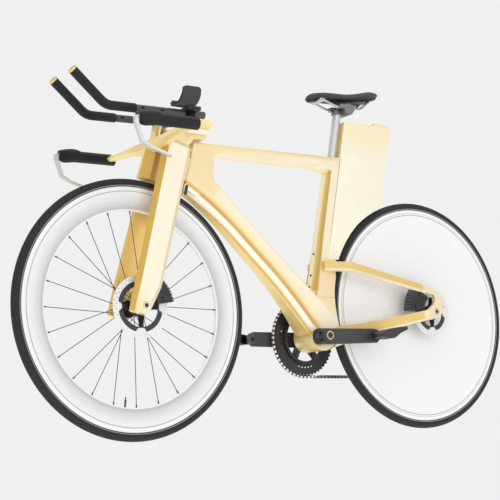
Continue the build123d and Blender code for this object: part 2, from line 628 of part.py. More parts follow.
with BuildPart() as fork_crown:
    # bridge between the legs, over the tyre, with a core that runs up in front of the head tube
    with BuildSketch(steer_side(LEG_INNER_TOP + 5)):
        Polygon((LEG_REAR + 12, CROWN_LOW - 12), (LEG_CHORD - 10, CROWN_LOW - 12),
                (LEG_CHORD - 10, LEG_TOP), (HEAD_TUBE_RADIUS + 10, LEG_TOP),
                (HEAD_TUBE_RADIUS + 10, HEAD_LOW - CROWN_GAP),
                (LEG_REAR + 12, HEAD_LOW - CROWN_GAP), align=None)
    extrude(amount=2 * LEG_INNER_TOP + 10)
    with BuildSketch(steer_cut(CROWN_LOW - 12)):
        Circle(HEAD_TUBE_RADIUS)
    extrude(amount=HEAD_LOW - CROWN_GAP - CROWN_LOW + 12)
    barrel(100, -100, TYRE_RADIUS + TYRE_GAP, FRONT_AXLE, Mode.SUBTRACT)
    for neighbour in (fork_leg_left.part, pieces["fork_leg_right"], stem.part, base_bar.part):
        add(neighbour, mode=Mode.SUBTRACT)
pieces["fork_crown"] = fork_crown.part
with BuildPart() as nose_spine:
    with BuildSketch(steer_cut(CROWN_LOW - 12)):
        Polygon((LEG_CHORD - 10, SPINE_HALF), (NOSE_REAR, SPINE_HALF),
                (NOSE_REAR, -SPINE_HALF), (LEG_CHORD - 10, -SPINE_HALF), align=None)
    extrude(amount=COLUMN_TOP - CROWN_LOW + 12)
    barrel(100, -100, TYRE_RADIUS + TYRE_GAP, FRONT_AXLE, Mode.SUBTRACT)
    for neighbour in (fork_crown.part, stem.part, base_bar.part):
        add(neighbour, mode=Mode.SUBTRACT)
pieces["nose_spine"] = nose_spine.part
with BuildPart() as nose_fairing:
    loft([nose_section(CROWN_LOW - 14, NOSE_FRONT), nose_section(LEG_TOP - 8, NOSE_FRONT - 3)],
         ruled=True)
    with BuildSketch(steer_cut(LEG_TOP)):
        Polygon((NOSE_REAR, NOSE_HALF), (COLUMN_FRONT - 4, NOSE_HALF),
                (COLUMN_FRONT, NOSE_HALF - 5), (COLUMN_FRONT, 5 - NOSE_HALF),
                (COLUMN_FRONT - 4, -NOSE_HALF), (NOSE_REAR, -NOSE_HALF), align=None)
    extrude(amount=COLUMN_TOP - LEG_TOP)
    barrel(100, -100, TYRE_RADIUS + TYRE_GAP, FRONT_AXLE, Mode.SUBTRACT)
    add(base_bar.part, mode=Mode.SUBTRACT)
pieces["nose_fairing"] = nose_fairing.part

with BuildPart() as steerer:
    with BuildSketch(steer_cut(HEAD_LOW - CROWN_GAP)):
        Circle(STEERER_RADIUS)
    extrude(amount=LEG_TOP - HEAD_LOW + CROWN_GAP)
pieces["steerer"] = steerer.part

with BuildPart() as front_axle:
    barrel(LEG_INNER_AXLE + 20, -LEG_INNER_AXLE - 20, AXLE_RADIUS, FRONT_AXLE)
pieces["front_axle"] = front_axle.part

# ---------------------------------------------------------------- extensions and arm pads
EXT_Y = 54.0
EXT_RADIUS = 10.0
SLEEVE_RADIUS = 12.3
EXT_REAR = (FRONT - 166, 587.0)
EXT_SLEEVE = (FRONT + 46, 584.0)
EXT_BEND = (FRONT + 131, 583.0)
EXT_TIP = (FRONT + 221, 663.0)
PLUG_DEPTH = 6.0
SLOT_PLACES = (-32.0, 27.0)         # cable slots, ahead of the steering foot

with BuildPart() as extension_left:
    with BuildLine(side(EXT_Y)) as ext_path:
        Line(EXT_REAR, EXT_SLEEVE)
    with BuildSketch(Plane(origin=ext_path.line @ 0, z_dir=ext_path.line % 0)):
        Circle(EXT_RADIUS)
    sweep(path=ext_path.line)
    with BuildSketch(side(EXT_Y + 20)):
        with Locations(*[(FRONT + ahead, EXT_SLEEVE[1] + 0.5) for ahead in SLOT_PLACES]):
            SlotOverall(12, 5)
    extrude(amount=40, mode=Mode.SUBTRACT)
with BuildPart() as extension_grip_left:
    with BuildLine(side(EXT_Y)) as sleeve_path:
        FilletPolyline(EXT_SLEEVE, EXT_BEND, EXT_TIP, radius=45)
    with BuildSketch(Plane(origin=sleeve_path.line @ 0, z_dir=sleeve_path.line % 0)):
        Circle(SLEEVE_RADIUS)
    sweep(path=sleeve_path.line)
    add(extension_left.part, mode=Mode.SUBTRACT)
for name, shape in (("extension", extension_left.part),
                    ("extension_grip", extension_grip_left.part)):
    pieces[name + "_left"] = shape
    pieces[name + "_right"] = mirrored(shape)

with BuildPart() as bar_plugs:
    tip_angle = atan2(EXT_TIP[1] - EXT_BEND[1], EXT_TIP[0] - EXT_BEND[0])
    for y in (-EXT_Y, EXT_Y):
        tip_plane = Plane(origin=point(EXT_TIP[0], y, EXT_TIP[1]), x_dir=(0, 1, 0),
                          z_dir=(cos(tip_angle), 0, sin(tip_angle)))
        with BuildSketch(tip_plane):
            Circle(SLEEVE_RADIUS)
        extrude(amount=PLUG_DEPTH)
        with BuildSketch(tip_plane.offset(PLUG_DEPTH)):
            Circle(SLEEVE_RADIUS - 4)
        extrude(amount=-3, mode=Mode.SUBTRACT)
pieces["bar_plugs"] = bar_plugs.part

PAD_X = FRONT - 87.0                # middle of the arm cups
PAD_LENGTH = 52.0
PAD_FLOOR = 596.0                   # underside of the cups
PAD_INNER = 56.0
PAD_OUTER = 128.0
PAD_RISE = 43.0                     # height of the outer wall
CUP_WALL = 4.0
CLAMP_LENGTH = 28.0
CLAMP_PLACE = FRONT - 118.0         # clamps of the extensions
with BuildPart() as pad_bracket:
    # riser on the stem, a bridge across it, a clamp round each extension and a seat per cup
    bridge = EXT_REAR[1] - EXT_RADIUS - 2
    with BuildSketch(level(STEM_TOP - 10)):
        with Locations((CLAMP_PLACE + 4, 0)):
            RectangleRounded(44, 46, 8)
    extrude(amount=bridge - STEM_TOP + 14)
    with BuildSketch(level(bridge)):
        with Locations((CLAMP_PLACE, 0)):
            RectangleRounded(CLAMP_LENGTH, 2 * (EXT_Y + EXT_RADIUS + 5), 5)
    extrude(amount=PAD_FLOOR - bridge)
    for y in (-PAD_INNER - 20, PAD_INNER + 20):
        with BuildSketch(level(PAD_FLOOR - 9)):
            with Locations((CLAMP_PLACE + 6, y)):
                RectangleRounded(CLAMP_LENGTH + 12, 44, 5)
        extrude(amount=9)
    with BuildSketch(level(PAD_FLOOR - 9)):
        with Locations((CLAMP_PLACE, 0)):
            RectangleRounded(CLAMP_LENGTH + 4, 2 * (EXT_Y - EXT_RADIUS - 8), 5)
    extrude(amount=20, mode=Mode.SUBTRACT)
    add(stem.part, mode=Mode.SUBTRACT)
    add(pieces["extension_left"], mode=Mode.SUBTRACT)
    add(pieces["extension_right"], mode=Mode.SUBTRACT)
pieces["pad_bracket"] = pad_bracket.part


def cradle(inner, outer, floor, rise, thickness, length):
    """Forearm trough: a low inner lip, a flat floor and a high curved outer wall."""
    with BuildSketch(cross(PAD_X - length / 2, (0, PAD_FLOOR))) as section:
        with BuildLine():
            Polyline((inner, floor + 14), (inner + 4, floor + 3), (inner + 14, floor),
                     (outer - 34, floor))
            ThreePointArc((outer - 34, floor), (outer - 9, floor + 13), (outer, rise))
            Line((outer, rise), (outer - thickness, rise))
            ThreePointArc((outer - thickness, rise), (outer - 9 - thickness, floor + 15 + thickness / 2),
                          (outer - 34, floor + thickness))
            Polyline((outer - 34, floor + thickness), (inner + 15, floor + thickness),
                     (inner + 4 + thickness, floor + 14), (inner, floor + 14))
        make_face()
    extrude(section.sketch, amount=length)
    # the top corners of the walls are round, seen from the side
    with BuildSketch(side(outer + 10)) as plan:
        with Locations((PAD_X, PAD_FLOOR + rise / 2 - 10)):
            RectangleRounded(length, rise + 20, 9)
    extrude(plan.sketch, amount=outer - inner + 20, mode=Mode.INTERSECT)


with BuildPart() as arm_cup_left:
    cradle(PAD_INNER, PAD_OUTER, 0, PAD_RISE, CUP_WALL, PAD_LENGTH)
pieces["arm_cup_left"] = arm_cup_left.part
pieces["arm_cup_right"] = mirrored(arm_cup_left.part)

with BuildPart() as arm_pad_left:
    cradle(PAD_INNER + 5, PAD_OUTER - CUP_WALL, CUP_WALL, PAD_RISE + 2, 6.0, PAD_LENGTH + 4)
    add(arm_cup_left.part, mode=Mode.SUBTRACT)
pieces["arm_pad_left"] = arm_pad_left.part
pieces["arm_pad_right"] = mirrored(arm_pad_left.part)

# ---------------------------------------------------------------- wheels
RIM_HALF = 13.0
RIM_DEPTH = 60.0
FRONT_RIM_INNER = RIM_SEAT_RADIUS - RIM_DEPTH
# section of both rims beside the tyre: left position, distance in from the rim seat
RIM_SIDE = [(TYRE_WIDTH / 2 - 3, 0.0), (RIM_HALF - 1, 8.0), (RIM_HALF, 27.0)]
SPOKE_COUNT = 24
SPOKE_RADIUS = 0.9
NIPPLE_RADIUS = 1.7
NIPPLE_LENGTH = 9.0
SPOKE_LEAN = 37.5               # spokes leave the hub this far round from their rim hole
SPOKE_STEP = 1.5                # crossing spokes pass each other by twice this
SPOKE_DEPTH = 3.0               # spoke ends in the flange and in the rim
FLANGE_RADIUS = 23.0
FLANGE_Y = 24.0
ROTOR_SEAT_RADIUS = 17.0
VALVE_ANGLE = -82.5
VALVE_RADIUS = 2.5
VALVE_LENGTH = 26.0


def wheel_piece(at, outline):
    """Body turned about an axle from half of its section: left position and radius."""
    with BuildSketch(radial(at)) as section:
        with BuildLine():
            Polyline(*outline, outline[0])
        make_face()
    revolve(section.sketch, axis=axle_line(at))


def tyre(at):
    """Round tyre on its rim seat."""
    half = TYRE_WIDTH / 2
    middle = TYRE_RADIUS - half
    with BuildSketch(radial(at)) as section:
        with BuildLine():
            ThreePointArc((half, middle), (0, TYRE_RADIUS), (-half, middle))
            Polyline((-half, middle), (3 - half, RIM_SEAT_RADIUS), (half - 3, RIM_SEAT_RADIUS),
                     (half, middle))
        make_face()
    revolve(section.sketch, axis=axle_line(at))


def hub(at, half, flange_y, flange_radius, rotor_y):
    """Hub shell with two spoke flanges, a rotor seat and a bore that runs on the axle."""
    wheel_piece(at, [(half, AXLE_RADIUS + RUNNING), (half, 10), (rotor_y + 4, 10),
                     (rotor_y + 4, ROTOR_SEAT_RADIUS), (flange_y + 6, ROTOR_SEAT_RADIUS),
                     (flange_y + 4, flange_radius), (flange_y - 2, flange_radius),
                     (flange_y - 6, 13), (6 - flange_y, 13), (2 - flange_y, flange_radius),
                     (-flange_y - 4, flange_radius), (-flange_y - 6, 12), (-half, 10),
                     (-half, AXLE_RADIUS + RUNNING)])


ROTOR_BAND = 15.0               # width of the braking band
ROTOR_TABS = 4                  # tabs of the band, each riveted to an arm of the carrier


def rotor(at, y, radius):
    """Braking band with pointed tabs inside it and drilled holes round it."""
    with BuildSketch(side(y + ROTOR_THICKNESS / 2, at)) as band:
        Circle(radius)
        Circle(radius - ROTOR_BAND, mode=Mode.SUBTRACT)
        with PolarLocations(0, ROTOR_TABS):
            Polygon((radius - ROTOR_BAND + 1, -14), (radius - ROTOR_BAND - 12, -4),
                    (radius - ROTOR_BAND - 12, 4), (radius - ROTOR_BAND + 1, 14), align=None)
        with PolarLocations(radius - 4.5, 30):
            RegularPolygon(2.7, 3, mode=Mode.SUBTRACT)
        with PolarLocations(radius - 10.5, 30, start_angle=6):
            RegularPolygon(2.7, 3, rotation=180, mode=Mode.SUBTRACT)
    extrude(band.sketch, amount=ROTOR_THICKNESS)


def carrier(at, y, radius, hub_radius):
    """Carrier of the band: a ring on the hub, arms to the tabs and cooling fins between."""
    outer = radius - ROTOR_BAND - SEAT
    with BuildSketch(side(y + 0.5 + ROTOR_THICKNESS / 2, at)) as spider:
        Circle(outer)
        Circle(outer - 13, mode=Mode.SUBTRACT)
        with PolarLocations(0, ROTOR_TABS):
            Polygon((hub_radius, -9), (outer - 12, -6), (outer - 12, 6), (hub_radius, 9),
                    align=None)
            Polygon((outer + 1, -20), (outer - 11, -9), (outer - 11, 9), (outer + 1, 20),
                    align=None, mode=Mode.SUBTRACT)
        Circle(hub_radius + 7)
        Circle(hub_radius, mode=Mode.SUBTRACT)
    extrude(spider.sketch, amount=ROTOR_THICKNESS + 1)


with BuildPart() as front_rotor:
    rotor(FRONT_AXLE, FRONT_ROTOR_Y, FRONT_ROTOR_RADIUS)
with BuildPart() as rear_rotor:
    rotor(REAR_AXLE, REAR_ROTOR_Y, REAR_ROTOR_RADIUS)
pieces["front_rotor"] = front_rotor.part
pieces["rear_rotor"] = rear_rotor.part

with BuildPart() as front_tyre:
    tyre(FRONT_AXLE)
with BuildPart() as rear_tyre:
    tyre(REAR_AXLE)
with BuildPart() as front_spokes:
    # in fours: right, left, left, right, leaning back, back, forward, forward
    for index in range(SPOKE_COUNT):
        flange = 1 if index % 4 in (1, 2) else -1
        lean = 1 if index % 4 in (2, 3) else -1
        rim_angle = 2 * pi * index / SPOKE_COUNT
        hub_angle = rim_angle + lean * radians(SPOKE_LEAN)
        hub_radius = FLANGE_RADIUS - SPOKE_DEPTH
        hub_end = point(FRONT_AXLE[0] + hub_radius * cos(hub_angle),
                        flange * (FLANGE_Y + 1) + lean * SPOKE_STEP,
                        FRONT_AXLE[1] + hub_radius * sin(hub_angle))
        rim_radius = FRONT_RIM_INNER + SPOKE_DEPTH
        rim_end = point(FRONT_AXLE[0] + rim_radius * cos(rim_angle), 0,
                        FRONT_AXLE[1] + rim_radius * sin(rim_angle))
        run = rim_end - hub_end
        with BuildSketch(Plane(origin=hub_end, z_dir=run)):
            Circle(SPOKE_RADIUS)
        extrude(amount=run.length)
        with BuildSketch(Plane(origin=rim_end, z_dir=-run)):
            Circle(NIPPLE_RADIUS)
        extrude(amount=NIPPLE_LENGTH + SPOKE_DEPTH)
with BuildPart() as front_valve:
    valve_way = Vector(cos(radians(VALVE_ANGLE)), 0, sin(radians(VALVE_ANGLE)))
    valve_foot = (point(FRONT_AXLE[0], 0, FRONT_AXLE[1])
                  + valve_way * (FRONT_RIM_INNER + SPOKE_DEPTH))
    with BuildSketch(Plane(origin=valve_foot, z_dir=-valve_way)):
        Circle(VALVE_RADIUS)
    extrude(amount=VALVE_LENGTH + SPOKE_DEPTH - 8)
    with BuildSketch(Plane(origin=valve_foot, z_dir=-valve_way)):
        Circle(VALVE_RADIUS - 1)
    extrude(amount=VALVE_LENGTH + SPOKE_DEPTH)
with BuildPart() as front_rim:
    rim = [(y, RIM_SEAT_RADIUS - drop) for y, drop in RIM_SIDE + [(RIM_HALF - 3, 48.0)]]
    rim.append((5, FRONT_RIM_INNER))
    wheel_piece(FRONT_AXLE, rim + [(-y, radius) for y, radius in reversed(rim)])
    add(front_spokes.part, mode=Mode.SUBTRACT)
    add(front_valve.part)
with BuildPart() as front_hub:
    hub(FRONT_AXLE, HUB_FRONT_HALF - 0.5, FLANGE_Y, FLANGE_RADIUS, FRONT_ROTOR_Y)
    carrier(FRONT_AXLE, FRONT_ROTOR_Y, FRONT_ROTOR_RADIUS, ROTOR_SEAT_RADIUS)
    for neighbour in (front_spokes.part, front_rotor.part):
        add(neighbour, mode=Mode.SUBTRACT)
pieces["front_tyre"] = front_tyre.part
pieces["front_rim"] = front_rim.part
pieces["front_hub"] = front_hub.part
pieces["front_spokes"] = front_spokes.part

DISC_HALF = 22.0                # half thickness of the rear disc at its hub
with BuildPart() as rear_disc:
    disc = [(y, RIM_SEAT_RADIUS - drop) for y, drop in RIM_SIDE] + [(DISC_HALF, 40),
                                                                   (DISC_HALF, 24)]
    wheel_piece(REAR_AXLE, disc + [(-y, radius) for y, radius in reversed(disc)])
with BuildPart() as rear_hub:
    wheel_piece(REAR_AXLE, [(70.5, AXLE_RADIUS + RUNNING), (70.5, 10), (REAR_ROTOR_Y + 4, 10),
                            (REAR_ROTOR_Y + 4, ROTOR_SEAT_RADIUS), (REAR_ROTOR_Y - 6, ROTOR_SEAT_RADIUS),
                            (40, 13), (26, 14), (DISC_HALF, 24),
                            (-DISC_HALF, 24), (-24, 17), (-52, 17), (-52, 10), (-70.5, 10),
                            (-70.5, AXLE_RADIUS + RUNNING)])
    carrier(REAR_AXLE, REAR_ROTOR_Y, REAR_ROTOR_RADIUS, ROTOR_SEAT_RADIUS)
    add(rear_rotor.part, mode=Mode.SUBTRACT)
pieces["rear_tyre"] = rear_tyre.part
pieces["rear_disc"] = rear_disc.part
pieces["rear_hub"] = rear_hub.part


# ---------------------------------------------------------------- transmission
RING_THICKNESS = 2.0
ROLLER_RADIUS = 1.8
PLATE_INNER = 1.5                # chain plates start this far from the chain's middle
PLATE_THICKNESS = 1.2
PLATE_HALF = 4.2
RING_CHAIN_RADIUS = CHAIN_PITCH / (2 * sin(pi / OUTER_TEETH)) + 0.9
SPROCKET_CHAIN_RADIUS = CHAIN_PITCH / (2 * sin(pi / SPROCKET_TEETH)) + 0.9
PULLEY_CHAIN_RADIUS = CHAIN_PITCH / (2 * sin(pi / PULLEY_TEETH)) + 0.9
HANGER = (REAR_AXLE[0] - 1, REAR_AXLE[1] - 30)
GUIDE_PULLEY = (REAR_AXLE[0] + 4, REAR_AXLE[1] - 88)
TENSION_PULLEY = (REAR_AXLE[0] + 22, REAR_AXLE[1] - 160)
TOOTH_GAP = 0.3
CHAIN_WHEELS = [((0, 0), RING_CHAIN_RADIUS), (REAR_AXLE, SPROCKET_CHAIN_RADIUS),
                (GUIDE_PULLEY, -PULLEY_CHAIN_RADIUS), (TENSION_PULLEY, PULLEY_CHAIN_RADIUS)]


def chain_route(offset):
    """Chain loop as (start, end) runs and (centre, radius, start angle, turn) arcs."""
    wheels = [(centre, radius + offset) for centre, radius in CHAIN_WHEELS]
    runs = []
    for (a, ra), (b, rb) in zip(wheels, wheels[1:] + wheels[:1]):
        distance = hypot(b[0] - a[0], b[1] - a[1])
        heading = atan2(b[1] - a[1], b[0] - a[0])
        normal = heading - acos((ra - rb) / distance)
        runs.append(((a[0] + ra * cos(normal), a[1] + ra * sin(normal)),
                     (b[0] + rb * cos(normal), b[1] + rb * sin(normal)), normal))
    arcs = []
    for index, (centre, radius) in enumerate(wheels):
        arrive, leave = runs[index - 1][2], runs[index][2]
        turn = (leave - arrive) % (2 * pi) if radius > 0 else -((arrive - leave) % (2 * pi))
        arcs.append((centre, radius, arrive, turn))
    return runs, arcs


def chain_loop(offset):
    """Face inside the chain loop, or inside the loop a little outside or inside it."""
    runs, arcs = chain_route(offset)
    with BuildSketch() as face:
        with BuildLine():
            for (start, end, _), (centre, radius, arrive, turn) in zip(runs, arcs):
                ThreePointArc(*[(centre[0] + radius * cos(arrive + turn * share),
                                 centre[1] + radius * sin(arrive + turn * share))
                                for share in (0, 0.5, 1)])
                Line(start, end)
        make_face()
    return face.sketch


def chain_places():
    """Centres of the pins, one pitch apart along the loop."""
    runs, arcs = chain_route(0)
    length = sum(abs(radius * turn) for _, radius, _, turn in arcs)
    length += sum(hypot(end[0] - start[0], end[1] - start[1]) for start, end, _ in runs)
    step = length / round(length / CHAIN_PITCH)
    places, left = [], 0.0
    for (start, end, _), (centre, radius, arrive, turn) in zip(runs, arcs):
        arc = abs(radius * turn)
        while left < arc:
            angle = arrive + turn * left / arc
            places.append((centre[0] + radius * cos(angle), centre[1] + radius * sin(angle)))
            left += step
        left -= arc
        run = hypot(end[0] - start[0], end[1] - start[1])
        while left < run:
            share = left / run
            places.append((start[0] + share * (end[0] - start[0]),
                           start[1] + share * (end[1] - start[1])))
            left += step
        left -= run
    return places[:round(length / step)]


with BuildPart() as chain:
    for y in (PLATE_INNER + PLATE_THICKNESS - CHAINLINE, -PLATE_INNER - CHAINLINE):
        with BuildSketch(side(y)):
            add(chain_loop(PLATE_HALF))
            add(chain_loop(-PLATE_HALF), mode=Mode.SUBTRACT)
        extrude(amount=PLATE_THICKNESS)
    with BuildSketch(side(PLATE_INNER - CHAINLINE)):
        with Locations(*chain_places()):
            Circle(ROLLER_RADIUS)
    extrude(amount=2 * PLATE_INNER)
pieces["chain"] = chain.part


def toothed(y, chain_radius, teeth, at):
    """Toothed disc whose tips stay inside the chain's pins."""
    tip = chain_radius - ROLLER_RADIUS - TOOTH_GAP
    pitch = 2 * pi / teeth
    outline = [(radius * cos(pitch * (index + share)), radius * sin(pitch * (index + share)))
               for index in range(teeth)
               for share, radius in ((-0.32, tip - TOOTH_DEPTH), (-0.12, tip), (0.12, tip),
                                     (0.32, tip - TOOTH_DEPTH))]
    with BuildSketch(side(y + RING_THICKNESS / 2, at)) as plate:
        Polygon(*outline, align=None)
    extrude(plate.sketch, amount=RING_THICKNESS)


def ring_opening(y, tab_radius):
    """Inner opening of a chainring, with a tab left for each bolt."""
    with BuildSketch(side(y + RING_THICKNESS / 2)) as opening:
        Circle(RING_HOLE)
        for place in BOLT_PLACES:
            turn = atan2(place[1], place[0]) * 180 / pi
            outward = (BOLT_CIRCLE + 12) / BOLT_CIRCLE
            with Locations(Location((outward * place[0], outward * place[1], 0), (0, 0, turn))):
                SlotOverall(2 * tab_radius + 24, 2 * tab_radius, mode=Mode.SUBTRACT)
    extrude(opening.sketch, amount=RING_THICKNESS, mode=Mode.SUBTRACT)


TOOTH_DEPTH = 3.6
RING_HOLE = 63.0
INNER_RING_Y = -CHAINLINE + 6.0
BOLT_CIRCLE = 55.0
BOLT_PLACES = [(BOLT_CIRCLE * cos(radians(a)), BOLT_CIRCLE * sin(radians(a)))
               for a in (55, 125, 235, 305)]
BOLT_RADIUS = 4.0
BOLT_HEAD = 6.0                 # radius of its heads and of the spacer between the rings
SPIDER_THICKNESS = 5.0
CRANK_INNER = 59.5
CRANK_OUTER = 72.0
PEDAL_HOLE_RADIUS = 7.0
SPINDLE_CAP = SPINDLE_RADIUS - 3    # radius of the caps in its ends
with BuildPart() as crank_bolts:
    # four bolts that carry the rings
    spider_outer = -CHAINLINE - RING_THICKNESS / 2 - SPIDER_THICKNESS
    for place in BOLT_PLACES:
        barrel(INNER_RING_Y + RING_THICKNESS / 2 + 1.5, spider_outer - 1.5, BOLT_RADIUS, place)
        barrel(INNER_RING_Y + RING_THICKNESS / 2 + 1.5, INNER_RING_Y + RING_THICKNESS / 2,
               BOLT_HEAD, place)
        barrel(INNER_RING_Y - RING_THICKNESS / 2, -CHAINLINE + RING_THICKNESS / 2, BOLT_HEAD,
               place)
        barrel(spider_outer, spider_outer - 1.5, BOLT_HEAD, place)
    # cap in each end of the spindle
    for y in (CRANK_OUTER - 1.5, -CRANK_OUTER + 5):
        barrel(y, y - 3.5, SPINDLE_CAP, (0, 0))
        barrel(y + 1, y - 4.5, 3, (0, 0), Mode.SUBTRACT)
with BuildPart() as outer_ring:
    toothed(-CHAINLINE, RING_CHAIN_RADIUS, OUTER_TEETH, (0, 0))
    ring_opening(-CHAINLINE, 8)
    # lightening slots in four groups
    with BuildSketch(side(-CHAINLINE + RING_THICKNESS / 2)):
        for start in (0, 90, 180, 270):
            with PolarLocations(80, 5, start_angle=start - 16, angular_range=32,
                                endpoint=True):
                SlotOverall(6, 3, rotation=90)
    extrude(amount=RING_THICKNESS, mode=Mode.SUBTRACT)
    add(crank_bolts.part, mode=Mode.SUBTRACT)
with BuildPart() as inner_ring:
    toothed(INNER_RING_Y, CHAIN_PITCH / (2 * sin(pi / INNER_TEETH)) + 2.5, INNER_TEETH, (0, 0))
    ring_opening(INNER_RING_Y, 8)
    add(crank_bolts.part, mode=Mode.SUBTRACT)
pieces["outer_ring"] = outer_ring.part
pieces["inner_ring"] = inner_ring.part
pieces["crank_bolts"] = crank_bolts.part

CRANK_HALF = 21.0
CRANK_BEVEL = 3.0
CRANK_EYE = 35.0                # the arm runs on past the spindle by this and its rounding
EYE_ROUND = 17.0
PINCH_PLACES = [(33, 5), (31, -13)]


def crank(sign, inner, outer):
    """Broad crank arm pointing forward (+1) or back (-1), bevelled on its outer face."""
    eye = (sign * CRANK_LENGTH, 0)
    bevel_from = inner + CRANK_BEVEL if sign > 0 else outer - CRANK_BEVEL
    front, top, bottom = -sign * CRANK_EYE, 2.0, -8.0
    round_off = EYE_ROUND * sqrt(0.5)
    with BuildSketch(side(bevel_from)) as arm:
        with BuildLine():
            Polyline((front, top + EYE_ROUND), (eye[0] - sign * 6, CRANK_HALF - 1),
                     (eye[0] + sign * 8, CRANK_HALF - 6), (eye[0] + sign * 14, 6),
                     (eye[0] + sign * 12, 10 - CRANK_HALF), (eye[0], 1 - CRANK_HALF),
                     (front, bottom - EYE_ROUND))
            ThreePointArc((front, bottom - EYE_ROUND),
                          (front - sign * round_off, bottom - round_off),
                          (front - sign * EYE_ROUND, bottom))
            Line((front - sign * EYE_ROUND, bottom), (front - sign * EYE_ROUND, top))
            ThreePointArc((front - sign * EYE_ROUND, top),
                          (front - sign * round_off, top + round_off), (front, top + EYE_ROUND))
        make_face()
    return arm.sketch


def crank_body(sign, inner, outer):
    """The arm's plate and the bevelled layer that faces outwards."""
    depth = outer - inner - CRANK_BEVEL
    outline = crank(sign, inner, outer)
    if sign > 0:
        extrude(outline.moved(Location((0, depth, 0))), amount=depth)
        extrude(outline, amount=CRANK_BEVEL, taper=40)
    else:
        extrude(outline, amount=depth)
        extrude(outline, amount=-CRANK_BEVEL, taper=40)
    eye = (sign * CRANK_LENGTH, 0)
    barrel(outer + 1, inner - 1, PEDAL_HOLE_RADIUS, eye, Mode.SUBTRACT)


with BuildPart() as crank_arm_left:
    crank_body(-1, CRANK_INNER, CRANK_OUTER)
    for place in PINCH_PLACES:
        barrel(CRANK_OUTER + 1, CRANK_OUTER - 5, 3.2, place, Mode.SUBTRACT)
    barrel(CRANK_OUTER + 1, CRANK_INNER - 1, SPINDLE_RADIUS, (0, 0), Mode.SUBTRACT)
with BuildPart() as crank_arm_right:
    crank_body(1, -CRANK_OUTER, -CRANK_INNER)
    # spider between the arm and the chainrings
    spider_y = -CHAINLINE - RING_THICKNESS / 2
    with BuildSketch(side(spider_y)):
        for place in BOLT_PLACES:
            share = (BOLT_CIRCLE + 9) / BOLT_CIRCLE
            across = (-place[1] / BOLT_CIRCLE, place[0] / BOLT_CIRCLE)
            with BuildLine():
                Polyline((-16 * across[0], -16 * across[1]),
                         (share * place[0] - 8 * across[0], share * place[1] - 8 * across[1]),
                         (share * place[0] + 8 * across[0], share * place[1] + 8 * across[1]),
                         (16 * across[0], 16 * across[1]), close=True)
            make_face()
    extrude(amount=SPIDER_THICKNESS)
    barrel(spider_y, -CRANK_INNER, 24, (0, 0))
    barrel(0, -CRANK_OUTER - 1, SPINDLE_RADIUS, (0, 0), Mode.SUBTRACT)
    add(crank_bolts.part, mode=Mode.SUBTRACT)
with BuildPart() as crank_spindle:
    barrel(CRANK_OUTER, -CRANK_OUTER, SPINDLE_RADIUS, (0, 0))
    # wrench hole in each end
    for y in (CRANK_OUTER, -CRANK_OUTER + 5):
        barrel(y, y - 5, SPINDLE_CAP, (0, 0), Mode.SUBTRACT)
pieces["crank_arm_left"] = crank_arm_left.part
pieces["crank_arm_right"] = crank_arm_right.part
pieces["crank_spindle"] = crank_spindle.part

PEDAL_INNER = 86.0
PEDAL_OUTER = 130.0
with BuildPart() as pedal_left:
    eye = (-CRANK_LENGTH, 0)
    with BuildSketch(side(PEDAL_OUTER, eye)):
        with BuildLine():
            Polyline((30, -8), (34, 2), (8, 12), (-40, 20), (-64, 22), (-64, 12), (-36, 2),
                     (-14, -12), (10, -12), (30, -8))
        make_face()
    extrude(amount=PEDAL_OUTER - PEDAL_INNER)
    barrel(PEDAL_INNER, CRANK_OUTER + 0.3, 9, eye)
    barrel(CRANK_OUTER + 0.3, CRANK_INNER + 1, PEDAL_HOLE_RADIUS - RUNNING, eye)
pieces["pedal_left"] = pedal_left.part
pieces["pedal_right"] = (Location(point(0, 0, 0)) * Rotation(0, 0, 180)
                         * Location(-point(0, 0, 0)) * pedal_left.part)

SPROCKET_PITCH = 3.8
with BuildPart() as cassette:
    for index, teeth in enumerate(SPROCKETS):
        toothed(-CHAINLINE + SPROCKET_PITCH * (CHAIN_SPROCKET - index),
                CHAIN_PITCH / (2 * sin(pi / teeth)) + 0.9, teeth, REAR_AXLE)
    barrel(-25.5, -CHAINLINE + SPROCKET_PITCH * (CHAIN_SPROCKET + 1 - len(SPROCKETS)) + 1, 19,
           REAR_AXLE)
    barrel(0, -100, 17, REAR_AXLE, Mode.SUBTRACT)
pieces["cassette"] = cassette.part

# ---------------------------------------------------------------- derailleurs and calipers
DROPOUT_OUTER = HUB_REAR_HALF + DROPOUT_THICKNESS
with BuildPart() as derailleur_hanger:
    # plate that hangs below the right dropout
    with BuildSketch(side(-HUB_REAR_HALF)):
        Polygon((REAR_AXLE[0] - 16, REAR_AXLE[1] - 14), (REAR_AXLE[0] + 14, REAR_AXLE[1] - 14),
                (HANGER[0] + 10, HANGER[1] - 6), (HANGER[0] + 4, HANGER[1] - 11),
                (HANGER[0] - 6, HANGER[1] - 11), (HANGER[0] - 11, HANGER[1] - 5), align=None)
    extrude(amount=DROPOUT_THICKNESS)
    add(chainstay_right.part, mode=Mode.SUBTRACT)
    add(rear_axle.part, mode=Mode.SUBTRACT)

